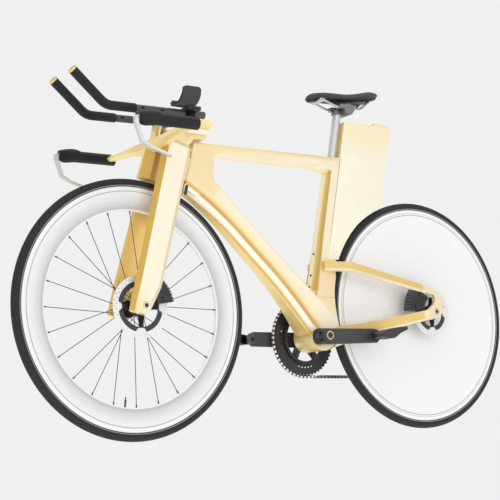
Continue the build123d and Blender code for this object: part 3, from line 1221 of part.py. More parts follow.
KNUCKLE_DEPTH = 14.0
CAGE_HALF = 6.2                     # outside of the cage plates, from the chain's middle
with BuildPart() as rear_derailleur:
    # cage plates on both sides of the chain
    for y in (CAGE_HALF - CHAINLINE, 2 - CAGE_HALF - CHAINLINE):
        with BuildSketch(side(y)):
            with Locations(GUIDE_PULLEY):
                Circle(11)
            with Locations(TENSION_PULLEY):
                Circle(11)
            Polygon((GUIDE_PULLEY[0] - 9, GUIDE_PULLEY[1]), (GUIDE_PULLEY[0] + 9, GUIDE_PULLEY[1]),
                    (TENSION_PULLEY[0] + 9, TENSION_PULLEY[1]),
                    (TENSION_PULLEY[0] - 9, TENSION_PULLEY[1]), align=None)
            middle = ((GUIDE_PULLEY[0] + TENSION_PULLEY[0]) / 2,
                      (GUIDE_PULLEY[1] + TENSION_PULLEY[1]) / 2)
            with Locations(Location((*middle, 0), (0, 0, 104))):
                SlotOverall(26, 7, mode=Mode.SUBTRACT)
        extrude(amount=2)
    for centre in (GUIDE_PULLEY, TENSION_PULLEY):
        barrel(CAGE_HALF - CHAINLINE, -CAGE_HALF - CHAINLINE, 4, centre)
    # knuckle outside the hanger, link plates down to the knuckle of the cage
    barrel(-DROPOUT_OUTER, -DROPOUT_OUTER - KNUCKLE_DEPTH, 11, HANGER)
    with BuildSketch(side(-DROPOUT_OUTER - 2)):
        Polygon((HANGER[0] - 10, HANGER[1] + 4), (HANGER[0] + 10, HANGER[1] + 2),
                (GUIDE_PULLEY[0] + 12, GUIDE_PULLEY[1] + 2),
                (GUIDE_PULLEY[0] + 4, GUIDE_PULLEY[1] - 10),
                (GUIDE_PULLEY[0] - 8, GUIDE_PULLEY[1] - 6), align=None)
    extrude(amount=KNUCKLE_DEPTH - 4)
    barrel(-CHAINLINE - CAGE_HALF, -DROPOUT_OUTER - KNUCKLE_DEPTH + 1, 10, GUIDE_PULLEY)
    # sleeve that holds the derailleur on its hanger
    barrel(-HUB_REAR_HALF - 1, -DROPOUT_OUTER, 5, HANGER)
    add(derailleur_hanger.part)
    for centre in (GUIDE_PULLEY, TENSION_PULLEY):
        toothed(-CHAINLINE, PULLEY_CHAIN_RADIUS, PULLEY_TEETH, centre)
pieces["rear_derailleur"] = rear_derailleur.part

CAGE_GAP = 0.8
with BuildPart() as front_derailleur:
    cage_inner = PLATE_INNER + PLATE_THICKNESS + CAGE_GAP
    for y in (cage_inner + 1 - CHAINLINE, -cage_inner - CHAINLINE):
        with BuildSketch(side(y)):
            with BuildLine():
                ThreePointArc((34, 104.5), (0, 110), (-34, 104.5))
                Polyline((-34, 104.5), (-42, 116), (-10, 126), (34, 120), (34, 104.5))
            make_face()
        extrude(amount=1)
    with BuildSketch(side(cage_inner + 1 - CHAINLINE)):
        Polygon((20, 119), (20, 124), (-20, 124), (-20, 119), align=None)
    extrude(amount=2 * cage_inner + 2)
    with BuildSketch(side(-20)):
        Polygon((4, 122), (4, 150), (-26, 150), (-26, 122), align=None)
    extrude(amount=CHAINLINE - cage_inner - 1 - 20)
    add(main_frame.part, mode=Mode.SUBTRACT)
pieces["front_derailleur"] = front_derailleur.part


PAD_GAP = 2.6                       # half of the slot that the rotor runs in
CALIPER_OUT = 17.0                  # sides of a caliper, from the middle of the rotor
CALIPER_IN = 9.0
FIN_WIDTH = 1.8


def caliper(axle, rotor_y, rotor_radius, start, finish, inner, outer, fins):
    """Curved block astride the rotor between two angles, finned along its back."""
    plane = side(rotor_y + CALIPER_OUT, axle)

    def place(radius, angle):
        return (radius * cos(radians(angle)), radius * sin(radians(angle)))

    middle = (start + finish) / 2
    with BuildSketch(plane) as body:
        with BuildLine():
            Line(place(inner, start), place(outer, start))
            ThreePointArc(place(outer, start), place(outer, middle), place(outer, finish))
            Line(place(outer, finish), place(inner, finish))
            ThreePointArc(place(inner, finish), place(inner, middle), place(inner, start))
        make_face()
        with PolarLocations(outer, fins, start_angle=start + 4,
                            angular_range=finish - start - 8, endpoint=True):
            Rectangle(9, FIN_WIDTH, mode=Mode.SUBTRACT)
    extrude(body.sketch, amount=CALIPER_OUT + CALIPER_IN)
    barrel(rotor_y + PAD_GAP, rotor_y - PAD_GAP, rotor_radius + 2, axle, Mode.SUBTRACT)
    # bolt towers of the two halves
    for angle in (start + 10, finish - 10):
        spot = place((inner + outer) / 2, angle)
        barrel(rotor_y + CALIPER_OUT + 3, rotor_y + CALIPER_OUT, 6,
               (axle[0] + spot[0], axle[1] + spot[1]))


with BuildPart() as rear_caliper:
    caliper(REAR_AXLE, REAR_ROTOR_Y, REAR_ROTOR_RADIUS, 2, 54, 44, 100, 9)
    add(pieces["chainstay_left"], mode=Mode.SUBTRACT)
    add(pieces["seatstay_left"], mode=Mode.SUBTRACT)
pieces["rear_caliper"] = rear_caliper.part
with BuildPart() as front_caliper:
    caliper(FRONT_AXLE, FRONT_ROTOR_Y, FRONT_ROTOR_RADIUS, 118, 172, 42, 90, 9)
    add(pieces["fork_leg_left"], mode=Mode.SUBTRACT)
pieces["front_caliper"] = front_caliper.part

# ---------------------------------------------------------------- hand over
for name, shape in pieces.items():
    shape.label = name
    export_step(shape, f"parts/{name}.step")
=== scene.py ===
from math import cos, pi, radians, sin, tan

import bmesh
import bpy
from mathutils import Matrix, Vector


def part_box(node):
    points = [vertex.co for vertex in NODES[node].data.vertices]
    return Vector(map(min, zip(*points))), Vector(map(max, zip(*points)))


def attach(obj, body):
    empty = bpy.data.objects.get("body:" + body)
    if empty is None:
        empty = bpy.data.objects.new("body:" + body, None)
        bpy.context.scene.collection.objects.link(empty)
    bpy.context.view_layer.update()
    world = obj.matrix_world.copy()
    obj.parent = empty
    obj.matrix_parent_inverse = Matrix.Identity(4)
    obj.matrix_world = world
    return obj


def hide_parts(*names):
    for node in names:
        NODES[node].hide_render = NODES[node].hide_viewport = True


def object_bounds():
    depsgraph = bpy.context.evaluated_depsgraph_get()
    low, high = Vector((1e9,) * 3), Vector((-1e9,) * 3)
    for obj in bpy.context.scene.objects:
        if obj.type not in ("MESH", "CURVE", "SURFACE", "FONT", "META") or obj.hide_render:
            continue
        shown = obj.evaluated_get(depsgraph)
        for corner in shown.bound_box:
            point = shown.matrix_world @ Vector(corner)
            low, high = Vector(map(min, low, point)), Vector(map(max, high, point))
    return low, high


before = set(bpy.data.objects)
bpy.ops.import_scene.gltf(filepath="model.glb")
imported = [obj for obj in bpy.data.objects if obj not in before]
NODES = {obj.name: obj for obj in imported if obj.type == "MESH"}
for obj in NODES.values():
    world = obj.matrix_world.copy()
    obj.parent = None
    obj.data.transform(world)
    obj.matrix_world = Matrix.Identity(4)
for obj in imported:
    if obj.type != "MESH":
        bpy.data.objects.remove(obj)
cad_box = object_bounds()
FLOOR = cad_box[0].z


def linear(*srgb):
    """Linear colour from 0-255 screen values."""
    def one(value):
        value /= 255
        return value / 12.92 if value <= 0.04045 else ((value + 0.055) / 1.055) ** 2.4
    return (*(one(v) for v in srgb), 1.0)


def grey(tone, blue=1):
    """Grey of a 0-255 screen value, a touch cooler by blue."""
    return linear(tone, tone, tone + blue)


# ------------------------------------------------------------------ camera, stage and light
CAMERA_TURN, CAMERA_RISE, CAMERA_ROLL = radians(33.699), radians(9.077), radians(-2.618)
CAMERA_PLACE = (2.2867, 2.6780, FLOOR + 0.012)
SENSOR, LENS = 36, 87.444           # millimetres
SHIFT = (0.080, -0.0208)
BACKGROUND = grey(240, 0)
FLOOR_ALBEDO = 0.16                 # what it reflects, which shows the contact shadow
FLOOR_SEEN = 0.845                  # its own brightness to the camera
FLOOR_BOUNCE = 1.05                 # and to the object
SKY_LOW, SKY_HIGH = 0.80, 0.94      # strength of the surroundings from below and from above


def main_camera():
    """Three-quarter view from the front left, close to the floor."""
    camera = bpy.data.objects.new("camera", bpy.data.cameras.new("camera"))
    bpy.context.scene.collection.objects.link(camera)
    bpy.context.scene.camera = camera
    look = Vector((-sin(CAMERA_TURN) * cos(CAMERA_RISE), -cos(CAMERA_TURN) * cos(CAMERA_RISE),
                   sin(CAMERA_RISE)))
    right = look.cross(Vector((0, 0, 1))).normalized()
    upward = right.cross(look)
    turned = Matrix((cos(CAMERA_ROLL) * right + sin(CAMERA_ROLL) * upward,
                     cos(CAMERA_ROLL) * upward - sin(CAMERA_ROLL) * right,
                     -look)).transposed()
    camera.matrix_world = Matrix.Translation(CAMERA_PLACE) @ turned.to_4x4()
    camera.data.sensor_width = SENSOR
    camera.data.lens = LENS
    camera.data.shift_x, camera.data.shift_y = SHIFT
    camera.data.clip_end = 100


def floor_material():
    """Pale floor with a faint contact shadow, and a bright white to the object above it."""
    material = bpy.data.materials.new("floor")
    material.use_nodes = True
    nodes, links = material.node_tree.nodes, material.node_tree.links
    nodes.clear()
    out = nodes.new("ShaderNodeOutputMaterial")
    path = nodes.new("ShaderNodeLightPath")
    glow = nodes.new("ShaderNodeEmission")
    glow.inputs["Color"].default_value = BACKGROUND
    strength = nodes.new("ShaderNodeMapRange")
    strength.inputs["To Min"].default_value = FLOOR_BOUNCE
    strength.inputs["To Max"].default_value = FLOOR_SEEN
    links.new(path.outputs["Is Camera Ray"], strength.inputs["Value"])
    links.new(strength.outputs[0], glow.inputs["Strength"])
    dull = nodes.new("ShaderNodeBsdfDiffuse")
    dull.inputs["Color"].default_value = (FLOOR_ALBEDO, FLOOR_ALBEDO, FLOOR_ALBEDO, 1)
    both = nodes.new("ShaderNodeAddShader")
    links.new(glow.outputs[0], both.inputs[0])
    links.new(dull.outputs[0], both.inputs[1])
    links.new(both.outputs[0], out.inputs["Surface"])
    return material


def plane(name, centre, across, up, material):
    mesh = bpy.data.meshes.new(name)
    c, a, u = Vector(centre), Vector(across), Vector(up)
    mesh.from_pydata([c - a - u, c + a - u, c + a + u, c - a + u], [], [(0, 1, 2, 3)])
    obj = bpy.data.objects.new(name, mesh)
    bpy.context.scene.collection.objects.link(obj)
    mesh.materials.append(material)


def studio_world():
    """Even white surroundings, a little brighter above; the camera sees the plain backdrop."""
    world = bpy.data.worlds.new("studio")
    bpy.context.scene.world = world
    world.use_nodes = True
    nodes, links = world.node_tree.nodes, world.node_tree.links
    nodes.clear()
    out = nodes.new("ShaderNodeOutputWorld")
    path = nodes.new("ShaderNodeLightPath")
    light = nodes.new("ShaderNodeBackground")
    seen = nodes.new("ShaderNodeBackground")
    seen.inputs["Color"].default_value = BACKGROUND
    either = nodes.new("ShaderNodeMixShader")
    direction = nodes.new("ShaderNodeTexCoord")
    axes = nodes.new("ShaderNodeSeparateXYZ")
    strength = nodes.new("ShaderNodeMapRange")
    for socket, value in (("From Min", -1), ("From Max", 1),
                          ("To Min", SKY_LOW), ("To Max", SKY_HIGH)):
        strength.inputs[socket].default_value = value
    links.new(direction.outputs["Generated"], axes.inputs[0])
    links.new(axes.outputs["Z"], strength.inputs["Value"])
    links.new(strength.outputs[0], light.inputs["Strength"])
    links.new(path.outputs["Is Camera Ray"], either.inputs[0])
    links.new(light.outputs[0], either.inputs[1])
    links.new(seen.outputs[0], either.inputs[2])
    links.new(either.outputs[0], out.inputs["Surface"])


def softbox(name, place, target, width, height, power):
    """Rectangular lamp at place that faces target; sizes in metres, power in watts."""
    data = bpy.data.lights.new(name, "AREA")
    data.shape = "RECTANGLE"
    data.size, data.size_y = width, height
    data.energy = power
    lamp = bpy.data.objects.new(name, data)
    bpy.context.scene.collection.objects.link(lamp)
    lamp.location = place
    way = Vector(target) - Vector(place)
    lamp.rotation_mode = "QUATERNION"
    lamp.rotation_quaternion = way.to_track_quat("-Z", "Y")


main_camera()
bpy.context.scene.view_settings.view_transform = "Standard"
plane("floor", (0.2, 0, FLOOR), (7, 0, 0), (0, 7, 0), floor_material())
studio_world()
softbox("side_light", place=(-0.4, 3.2, 0.4), target=(0.1, 0, -0.5),
        width=3.4, height=2.4, power=18)
softbox("top_light", place=(0.3, 0.4, 2.4), target=(0.2, 0, -0.4),
        width=3.0, height=3.0, power=14)
softbox("far_light", place=(0.3, -3.2, 0.6), target=(0.2, 0, -0.5),
        width=3.0, height=2.2, power=10)


# ------------------------------------------------------------------ materials
class Shade:
    """A principled material with short calls for its nodes."""

    def __init__(self, name, colour, rough=0.5, metal=0.0, **sockets):
        self.material = bpy.data.materials.new(name)
        self.material.use_nodes = True
        tree = self.material.node_tree
        self.nodes, self.links = tree.nodes, tree.links
        self.bsdf = self.nodes["Principled BSDF"]
        self.bsdf.inputs["Base Color"].default_value = colour
        self.bsdf.inputs["Roughness"].default_value = rough
        self.bsdf.inputs["Metallic"].default_value = metal
        for socket, value in sockets.items():
            self.bsdf.inputs[socket.replace("_", " ")].default_value = value
        place = self.node("ShaderNodeTexCoord").outputs
        self.coord = place["Object"]
        self.x, self.y, self.z = self.split(self.coord)
        self.nx, self.ny, self.nz = self.split(place["Normal"])
        self.bumped = None

    def node(self, kind, **settings):
        made = self.nodes.new(kind)
        for setting, value in settings.items():
            setattr(made, setting, value)
        return made

    def put(self, socket, value):
        if hasattr(value, "links"):
            self.links.new(value, socket)
        else:
            socket.default_value = value

    def math(self, operation, a, b=0.0):
        made = self.node("ShaderNodeMath", operation=operation)
        for socket, value in zip(made.inputs, (a, b)):
            self.put(socket, value)
        return made.outputs[0]

    def times(self, first, *others):
        """Product of all values."""
        for other in others:
            first = self.math("MULTIPLY", first, other)
        return first

    def plus(self, a, b):
        return self.math("ADD", a, b)

    def minus(self, a, b):
        return self.math("SUBTRACT", a, b)

    def noise(self, scale, detail=3.0, rough=0.5, at=None, stretch=None):
        made = self.node("ShaderNodeTexNoise")
        at = at or self.coord
        if stretch:
            mapping = self.node("ShaderNodeMapping")
            mapping.inputs["Scale"].default_value = stretch
            self.links.new(at, mapping.inputs["Vector"])
            at = mapping.outputs[0]
        self.links.new(at, made.inputs["Vector"])
        made.inputs["Scale"].default_value = scale
        made.inputs["Detail"].default_value = detail
        made.inputs["Roughness"].default_value = rough
        return made.outputs["Fac"]

    def voronoi(self, scale, feature="F1", out="Distance"):
        made = self.node("ShaderNodeTexVoronoi", feature=feature)
        self.links.new(self.coord, made.inputs["Vector"])
        made.inputs["Scale"].default_value = scale
        return made.outputs[out]

    def span(self, value, low, high, to_low=0.0, to_high=1.0, smooth=True):
        made = self.node("ShaderNodeMapRange")
        made.interpolation_type = "SMOOTHSTEP" if smooth else "LINEAR"
        for socket, number in zip(("Value", "From Min", "From Max", "To Min", "To Max"),
                                  (value, low, high, to_low, to_high)):
            self.put(made.inputs[socket], number)
        return made.outputs[0]

    def mix(self, share, a, b):
        made = self.node("ShaderNodeMix", data_type="RGBA")
        self.put(made.inputs[0], share)
        self.put(made.inputs[6], a)
        self.put(made.inputs[7], b)
        return made.outputs[2]

    def split(self, vector):
        made = self.node("ShaderNodeSeparateXYZ")
        self.links.new(vector, made.inputs[0])
        return made.outputs

    def join(self, x, y, z):
        made = self.node("ShaderNodeCombineXYZ")
        for socket, value in zip(made.inputs, (x, y, z)):
            self.put(socket, value)
        return made.outputs[0]

    def polar(self, axle):
        """(radius, angle) round an axle that runs across the bicycle."""
        x, z = self.minus(self.x, axle[0]), self.minus(self.z, axle[2])
        radius = self.math("SQRT", self.plus(self.times(x, x), self.times(z, z)))
        return radius, self.math("ARCTAN2", z, x)

    def ring(self, value, centre, half, soft=0.0006):
        """1 on a thin band where value is near centre, else 0."""
        off = self.math("ABSOLUTE", self.minus(value, centre))
        return self.span(off, half, half + soft, 1.0, 0.0)

    def ramp(self, value, steps):
        """Colour along a value, through (value, colour) steps in rising order."""
        low, high = steps[0][0], steps[-1][0]
        made = self.node("ShaderNodeValToRGB")
        self.put(made.inputs[0], self.span(value, low, high, smooth=False))
        elements = made.color_ramp.elements
        elements[0].color, elements[-1].color = steps[0][1], steps[-1][1]
        for at, colour in steps[1:-1]:
            elements.new((at - low) / (high - low)).color = colour
        return made.outputs[0]

    def colour(self, value):
        self.put(self.bsdf.inputs["Base Color"], value)

    def rough(self, value):
        self.put(self.bsdf.inputs["Roughness"], value)

    def bump(self, height, distance):
        """Relief of a height in metres, laid over what is there already."""
        made = self.node("ShaderNodeBump")
        made.inputs["Distance"].default_value = distance
        self.links.new(height, made.inputs["Height"])
        if self.bumped:
            self.links.new(self.bumped, made.inputs["Normal"])
        self.bumped = made.outputs[0]
        self.put(self.bsdf.inputs["Normal"], self.bumped)


def wheel_centre(rim):
    low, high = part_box(rim)
    return (low + high) / 2


# places and sizes of the bicycle, in metres; pairs are (x, z) in its side view
FRONT = wheel_centre("front_rim")
REAR = wheel_centre("rear_disc")
TYRE_RADIUS = 0.3365
CRANK_AXIS = (0.165, 0, -0.721)
CHAIN_PITCH, CHAIN_RING_RADIUS, CHAIN_RING_TEETH = 0.0127, 0.106, 52
PEDAL_EYE = (0.335, 0, -0.721)
STEER_ANGLE = radians(73.5)
STEER_FOOT = (0.7051, -0.6617)      # on the steering axis
DOWN_TUBE_ANGLE = radians(44.0)
DOWN_TUBE_FOOT = (0.312, -0.477)    # on the tube's upper edge
RIDGE_OFFSET = 0.046                # from that edge to the ridge's upper line
RIDGE_STRAIGHT = 0.1                # the ridge is straight from the foot to here
RIDGE_BEND_LOW, RIDGE_BEND_HIGH = 0.411, 0.6    # how fast it bends away on either side
SEAT_ANGLE = radians(77.0)
SEAT_FRONT = (0.179, -0.609)        # on the front edge of the seat tube
BOX_CORNER = (0.1427, -0.609)       # on the line of the box's front edge
EVERYWHERE = 9.0                    # further forward than the bicycle reaches


def gold_shade(name, colour):
    """Champagne-gold lacquer; outward is 1 on outer flanks and -1 on inner ones."""
    s = Shade(name, colour, 0.34, 0.3, Coat_Weight=0.35, Coat_Roughness=0.12)
    s.outward = s.times(s.ny, s.math("SIGN", s.y))
    return s


def gold_paint(name, flank, middle, deep, below, inner, edge_end=EVERYWHERE):
    """Gold lacquer with light and shade painted in by the way each face of a tube turns: a
    painted highlight on the outer flank and on faces turned rearward, painted shade on the
    forward bevel beside it and on the inner side, and painted light from below on the face
    below; the rest is middle. Forward bevels are deep gold as far forward as edge_end."""
    s = gold_shade(name, middle)
    # painted highlight: pale flank where a face turns outward
    base = s.mix(s.span(s.outward, 0.86, 0.97), middle, flank)
    # painted shade: deep gold on bevels turned forward
    forward = s.times(s.span(s.nx, 0.25, 0.5), s.span(s.nz, -0.45, -0.25),
                      s.span(s.x, edge_end + 0.02, edge_end),
                      s.span(s.math("ABSOLUTE", s.ny), 0.25, 0.5))
    base = s.mix(forward, base, deep)
    # painted highlight: faces turned rearward take the pale flank tone
    rearward = s.times(s.span(s.nx, -0.1, -0.35), s.span(s.outward, 0.1, 0.4))
    base = s.mix(rearward, base, flank)
    # painted shade on the inner side
    base = s.mix(s.span(s.outward, -0.4, -0.8), base, inner)
    # painted light from below on faces turned down
    under = s.times(s.span(s.nz, -0.2, -0.4), s.span(s.outward, 0.3, 0.5))
    return s, s.mix(under, base, below)


def finish_gold(s, base):
    """Faint clouds, metal flake and lacquer texture over the tones of painted light and shade.
    """
    base = s.mix(s.span(s.noise(6, 4), 0.35, 0.75, 0.0, 0.10), base, linear(214, 172, 96))
    flake = s.times(s.span(s.voronoi(2600, out="Color"), 0.2, 0.9), 0.07)
    s.colour(s.mix(flake, base, linear(255, 248, 222)))
    s.rough(s.span(s.noise(40, 5), 0.3, 0.7, 0.31, 0.39))
    s.bump(s.noise(420, 2), 0.00004)
    s.bump(s.noise(60, 3), 0.0001)
    return s.material


def rotated(s, origin, angle):
    """(along, across) of a line in the side view that rises forward at an angle; across is
    positive below and in front of it."""
    x, z = s.minus(s.x, origin[0]), s.minus(s.z, origin[1])
    along = s.plus(s.times(x, cos(angle)), s.times(z, sin(angle)))
    across = s.plus(s.times(x, sin(angle)), s.times(z, -cos(angle)))
    return along, across


def behind(s, point):
    """How far back from the line through point at the seat tube's angle."""
    rise = s.math("DIVIDE", s.minus(s.z, point[1]), tan(SEAT_ANGLE))
    return s.minus(s.minus(point[0], rise), s.x)


def axle_mark(s, base, axle):
    """Thin dark ring round an axle's end."""
    mark = s.times(s.ring(s.polar(axle)[0], 0.0092, 0.0004), s.span(s.outward, 0.8, 0.9), 0.8)
    return s.mix(mark, base, linear(120, 84, 44))


# gold tones, mostly painted light and shade: cream on lit flanks, undersides and dropouts,
# white gold as painted light on faces turned down, deep gold as painted shade on forward
# bevels, line gold as painted shade in the ridge's creases, inner gold as painted shade on
# inner sides
CREAM, LIT_UNDERSIDE_GOLD = linear(247, 232, 196), linear(252, 244, 226)
GOLD_TONE, SHADED_FRONT_GOLD = linear(250, 228, 168), linear(218, 180, 98)
STAY_GOLD, CREASE_SHADE_GOLD = linear(230, 196, 116), linear(212, 166, 80)
SHADED_INNER_GOLD = linear(238, 202, 122)


def seat_tube_tones(s, base):
    """Painted highlight on the front face of the seat tube, and beside it a bevel painted with
    light and shade, from a highlight over deep gold shade to pale."""
    depth = behind(s, SEAT_FRONT)
    # painted light across the flat bevel: highlight, deep gold shade, then pale
    bevel = s.ramp(depth, [(0.0, linear(250, 222, 150)), (0.004, linear(226, 188, 104)),
                           (0.008, linear(208, 168, 84)), (0.011, linear(226, 190, 112)),
                           (0.014, linear(250, 228, 176))])
    tube = s.times(s.span(s.z, -0.615, -0.605), s.span(s.z, -0.232, -0.240),
                   s.span(depth, -0.006, -0.003))
    face = s.times(tube, s.span(s.nx, 0.85, 0.95))
    # painted highlight on the front face
    base = s.mix(face, base, linear(255, 247, 206))
    side = s.times(tube, s.span(s.math("ABSOLUTE", s.ny), 0.25, 0.4), s.span(s.nx, 0.2, 0.35),
                   s.span(depth, 0.02, 0.018))
    return s.mix(side, base, bevel)


def down_tube_tones(s, base):
    """Golden foot of the seat tube, and along the down tube a ridge of painted light: a
    near-white painted highlight between two dark gold lines of painted shade."""
    along, across = rotated(s, DOWN_TUBE_FOOT, DOWN_TUBE_ANGLE)
    foot = s.times(s.span(s.z, -0.495, -0.502), s.span(s.z, -0.70, -0.64),
                   s.span(across, 0.01, -0.03), s.span(s.outward, 0.5, 0.9), 0.6)
    base = s.mix(foot, base, linear(246, 214, 152))
    low = s.math("MINIMUM", along, 0.0)
    high = s.math("MAXIMUM", s.minus(along, RIDGE_STRAIGHT), 0.0)
    bend = s.plus(s.times(low, low, RIDGE_BEND_LOW), s.times(high, high, RIDGE_BEND_HIGH))
    past = s.minus(s.minus(across, RIDGE_OFFSET), bend)
    # painted shade deepening to a dark line, a near-white painted highlight, a second dark line
    # of painted shade, then the gold underside
    ridge = s.ramp(past, [(-0.046, linear(249, 238, 210)), (-0.022, linear(249, 235, 200)),
                          (-0.011, linear(246, 225, 172)), (-0.005, linear(232, 198, 122)),
                          (0.000, CREASE_SHADE_GOLD), (0.003, linear(222, 180, 98)),
                          (0.0060, linear(255, 250, 228)), (0.0130, linear(255, 253, 240)),
                          (0.0195, linear(255, 244, 204)), (0.0235, linear(214, 168, 84)),
                          (0.0275, linear(250, 216, 134)), (0.032, linear(255, 234, 168))])
    here = s.times(s.span(along, -0.292, -0.276), s.span(along, 0.345, 0.325),
                   s.span(across, -0.004, 0.006),
                   s.math("MAXIMUM", s.span(along, 0.25, 0.20), s.span(past, -0.024, -0.010)),
                   s.span(s.nz, 0.45, 0.30))
    return s.mix(here, base, ridge)


def frame_gold():
    """Frame with painted light and shade: paler to the rear and golden towards the head, with
    tubes and edges toned by painted highlights and shade.
    """
    s, base = gold_paint("frame_gold", CREAM, GOLD_TONE, SHADED_FRONT_GOLD, linear(255, 247, 222),
                         SHADED_INNER_GOLD, edge_end=0.40)
    # painted shade: deep gold round the underside of the bottom bracket
    shell_shade = s.times(s.span(s.polar(CRANK_AXIS)[0], 0.060, 0.045), s.span(s.nz, 0.0, -0.35), 0.8)
    base = s.mix(shell_shade, base, linear(240, 198, 112))
    # painted light along the flank: paler to the rear, golden towards the head
    flank = s.ramp(s.x, [(0.16, linear(250, 236, 206)), (0.34, linear(245, 228, 188)),
                         (0.50, linear(243, 219, 166)), (0.62, linear(245, 225, 180))])
    base = s.mix(s.span(s.outward, 0.86, 0.97), base, flank)
    # painted shade: golden under the top edge
    top = s.times(s.span(s.z, -0.216, -0.206), s.span(s.outward, 0.5, 0.9), 0.75)
    base = s.mix(top, base, linear(244, 214, 150))
    return finish_gold(s, down_tube_tones(s, seat_tube_tones(s, base)))


def fork_gold():
    """Fork legs with painted light and shade: golden at the front edge, nearly white to the
    rear.
    """
    # painted shade in gold on the inner sides, painted light on the faces below
    s, base = gold_paint("fork_gold", CREAM, GOLD_TONE, linear(230, 187, 82),
                         LIT_UNDERSIDE_GOLD, linear(255, 218, 132))
    ahead = rotated(s, STEER_FOOT, STEER_ANGLE)[1]
    # painted light across the flank, from golden at the front edge to nearly white at the rear
    flank = s.ramp(ahead, [(0.0, linear(252, 240, 216)), (0.030, linear(251, 237, 207)),
                           (0.060, linear(249, 226, 178)), (0.085, linear(243, 209, 144))])
    base = s.mix(s.span(s.outward, 0.80, 0.95), base, flank)
    return finish_gold(s, axle_mark(s, base, FRONT))


def stem_gold():
    """Stem with bands of painted light and shade: golden upper band, a bright inset panel under
    it and gold below.
    """
    s, base = gold_paint("stem_gold", CREAM, GOLD_TONE, SHADED_FRONT_GOLD, LIT_UNDERSIDE_GOLD, SHADED_INNER_GOLD)
    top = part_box("stem")[1].z
    # painted light and shade in bands down the flank, with dark lines of painted shade at the
    # inset's edges
    bands = s.ramp(s.minus(top, s.z),
                   [(0.0, linear(252, 232, 178)), (0.026, linear(246, 218, 152)),
                    (0.029, linear(228, 190, 112)), (0.031, linear(255, 248, 230)),
                    (0.044, linear(255, 246, 224)), (0.047, linear(240, 208, 138)),
                    (0.080, linear(254, 240, 206))])
    return finish_gold(s, s.mix(s.span(s.outward, 0.6, 0.8), base, bands))


def stay_gold():
    """Deeper gold along the stays and cream on the dropouts, with painted light: cream
    underneath and paler gold on top.
    """
    s = gold_shade("stay_gold", STAY_GOLD)
    tail = s.span(s.x, REAR.x + 0.055, REAR.x + 0.035)
    base = s.mix(tail, STAY_GOLD, CREAM)
    # painted light on faces turned down and on faces turned up
    base = s.mix(s.span(s.nz, -0.3, -0.6), base, CREAM)
    base = s.mix(s.span(s.nz, 0.3, 0.6), base, GOLD_TONE)
    return finish_gold(s, axle_mark(s, base, REAR))


def box_gold():
    """Storage box with light and shade painted by face, golden towards the top, and a dark line
    of painted shadow in the gap of its joint at the front.
    """
    s, base = gold_paint("box_gold", linear(255, 251, 228), GOLD_TONE, SHADED_FRONT_GOLD, LIT_UNDERSIDE_GOLD,
                         SHADED_INNER_GOLD)
    top = s.times(s.span(s.z, -0.22, -0.10), s.span(s.outward, 0.5, 0.9))
    base = s.mix(top, base, linear(255, 242, 206))
    # painted shadow in the narrow gap of the joint at the front
    seam_shadow = s.times(s.span(behind(s, BOX_CORNER), 0.0034, 0.0022), s.span(s.z, -0.199, -0.203))
    return finish_gold(s, s.mix(seam_shadow, base, linear(150, 108, 60)))


def tyre_rubber(name, axle):
    """Black tyre: fine chevron tread, mould lines, two thin painted highlight rings and dusty
    sidewalls.
    """
    s = Shade(name, grey(30), 0.75)
    radius, angle = s.polar(axle)
    tread = s.span(radius, TYRE_RADIUS - 0.012, TYRE_RADIUS - 0.005)
    chevron = s.math("SINE", s.plus(s.times(angle, 150.0),
                                    s.times(s.math("ABSOLUTE", s.y), 900)))
    grooves = s.times(s.span(chevron, 0.55, 0.9), tread)
    line = s.ring(radius, TYRE_RADIUS - 0.0140, 0.0004)
    # painted highlights: two thin rings of reflected light on the sidewall
    shine = s.math("MAXIMUM", s.ring(radius, TYRE_RADIUS - 0.0236, 0.0010, 0.0003),
                   s.times(s.ring(radius, TYRE_RADIUS - 0.0190, 0.0006, 0.0003), 0.45))
    dust = s.noise(22, 6, 0.6)
    base = s.mix(s.span(dust, 0.35, 0.75), grey(24), grey(44))
    base = s.mix(tread, base, grey(36))
    base = s.mix(s.math("MAXIMUM", s.times(grooves, 0.8), line), base, grey(14, 0))
    s.colour(s.mix(shine, base, grey(236)))
    s.rough(s.span(dust, 0.3, 0.7, 0.62, 0.8))
    s.bump(s.minus(1.0, s.math("MAXIMUM", grooves, line)), 0.0005)
    s.bump(s.noise(900, 2), 0.00008)
    return s.material


def white_wheel(name, axle, tones):
    """White lacquered wheel side, toned by (radius, tone) steps, on the front rim with painted
    light and shade, with a little road dust.
    """
    s = Shade(name, grey(238), 0.3, Coat_Weight=0.25, Coat_Roughness=0.1)
    base = s.ramp(s.polar(axle)[0], [(radius, grey(tone, 0)) for radius, tone in tones])
    dust = s.span(s.noise(5, 5, 0.55), 0.3, 0.75, 0.0, 0.03)
    s.colour(s.mix(dust, base, grey(196, 2)))
    s.rough(s.span(s.noise(30, 4), 0.3, 0.7, 0.26, 0.38))
    s.bump(s.noise(300, 2), 0.00003)
    return s.material


def turned_grain(s, axle):
    """Fine rings round an axle, as a lathe or a grinder leaves them."""
    radius, angle = s.polar(axle)
    return s.noise(1.0, 3, 0.6, s.join(s.times(radius, 2600), s.times(angle, 1.5),
                                       s.times(s.y, 2600)))


def rotor_steel(name, axle):
    """Bright ground braking band."""
    s = Shade(name, grey(236, 2), 0.4, 0.25)
    grain = turned_grain(s, axle)
    s.colour(s.mix(s.span(grain, 0.25, 0.75), grey(228, 2), grey(244)))
    s.rough(s.span(grain, 0.2, 0.8, 0.34, 0.48))
    s.bump(grain, 0.00004)
    return s.material


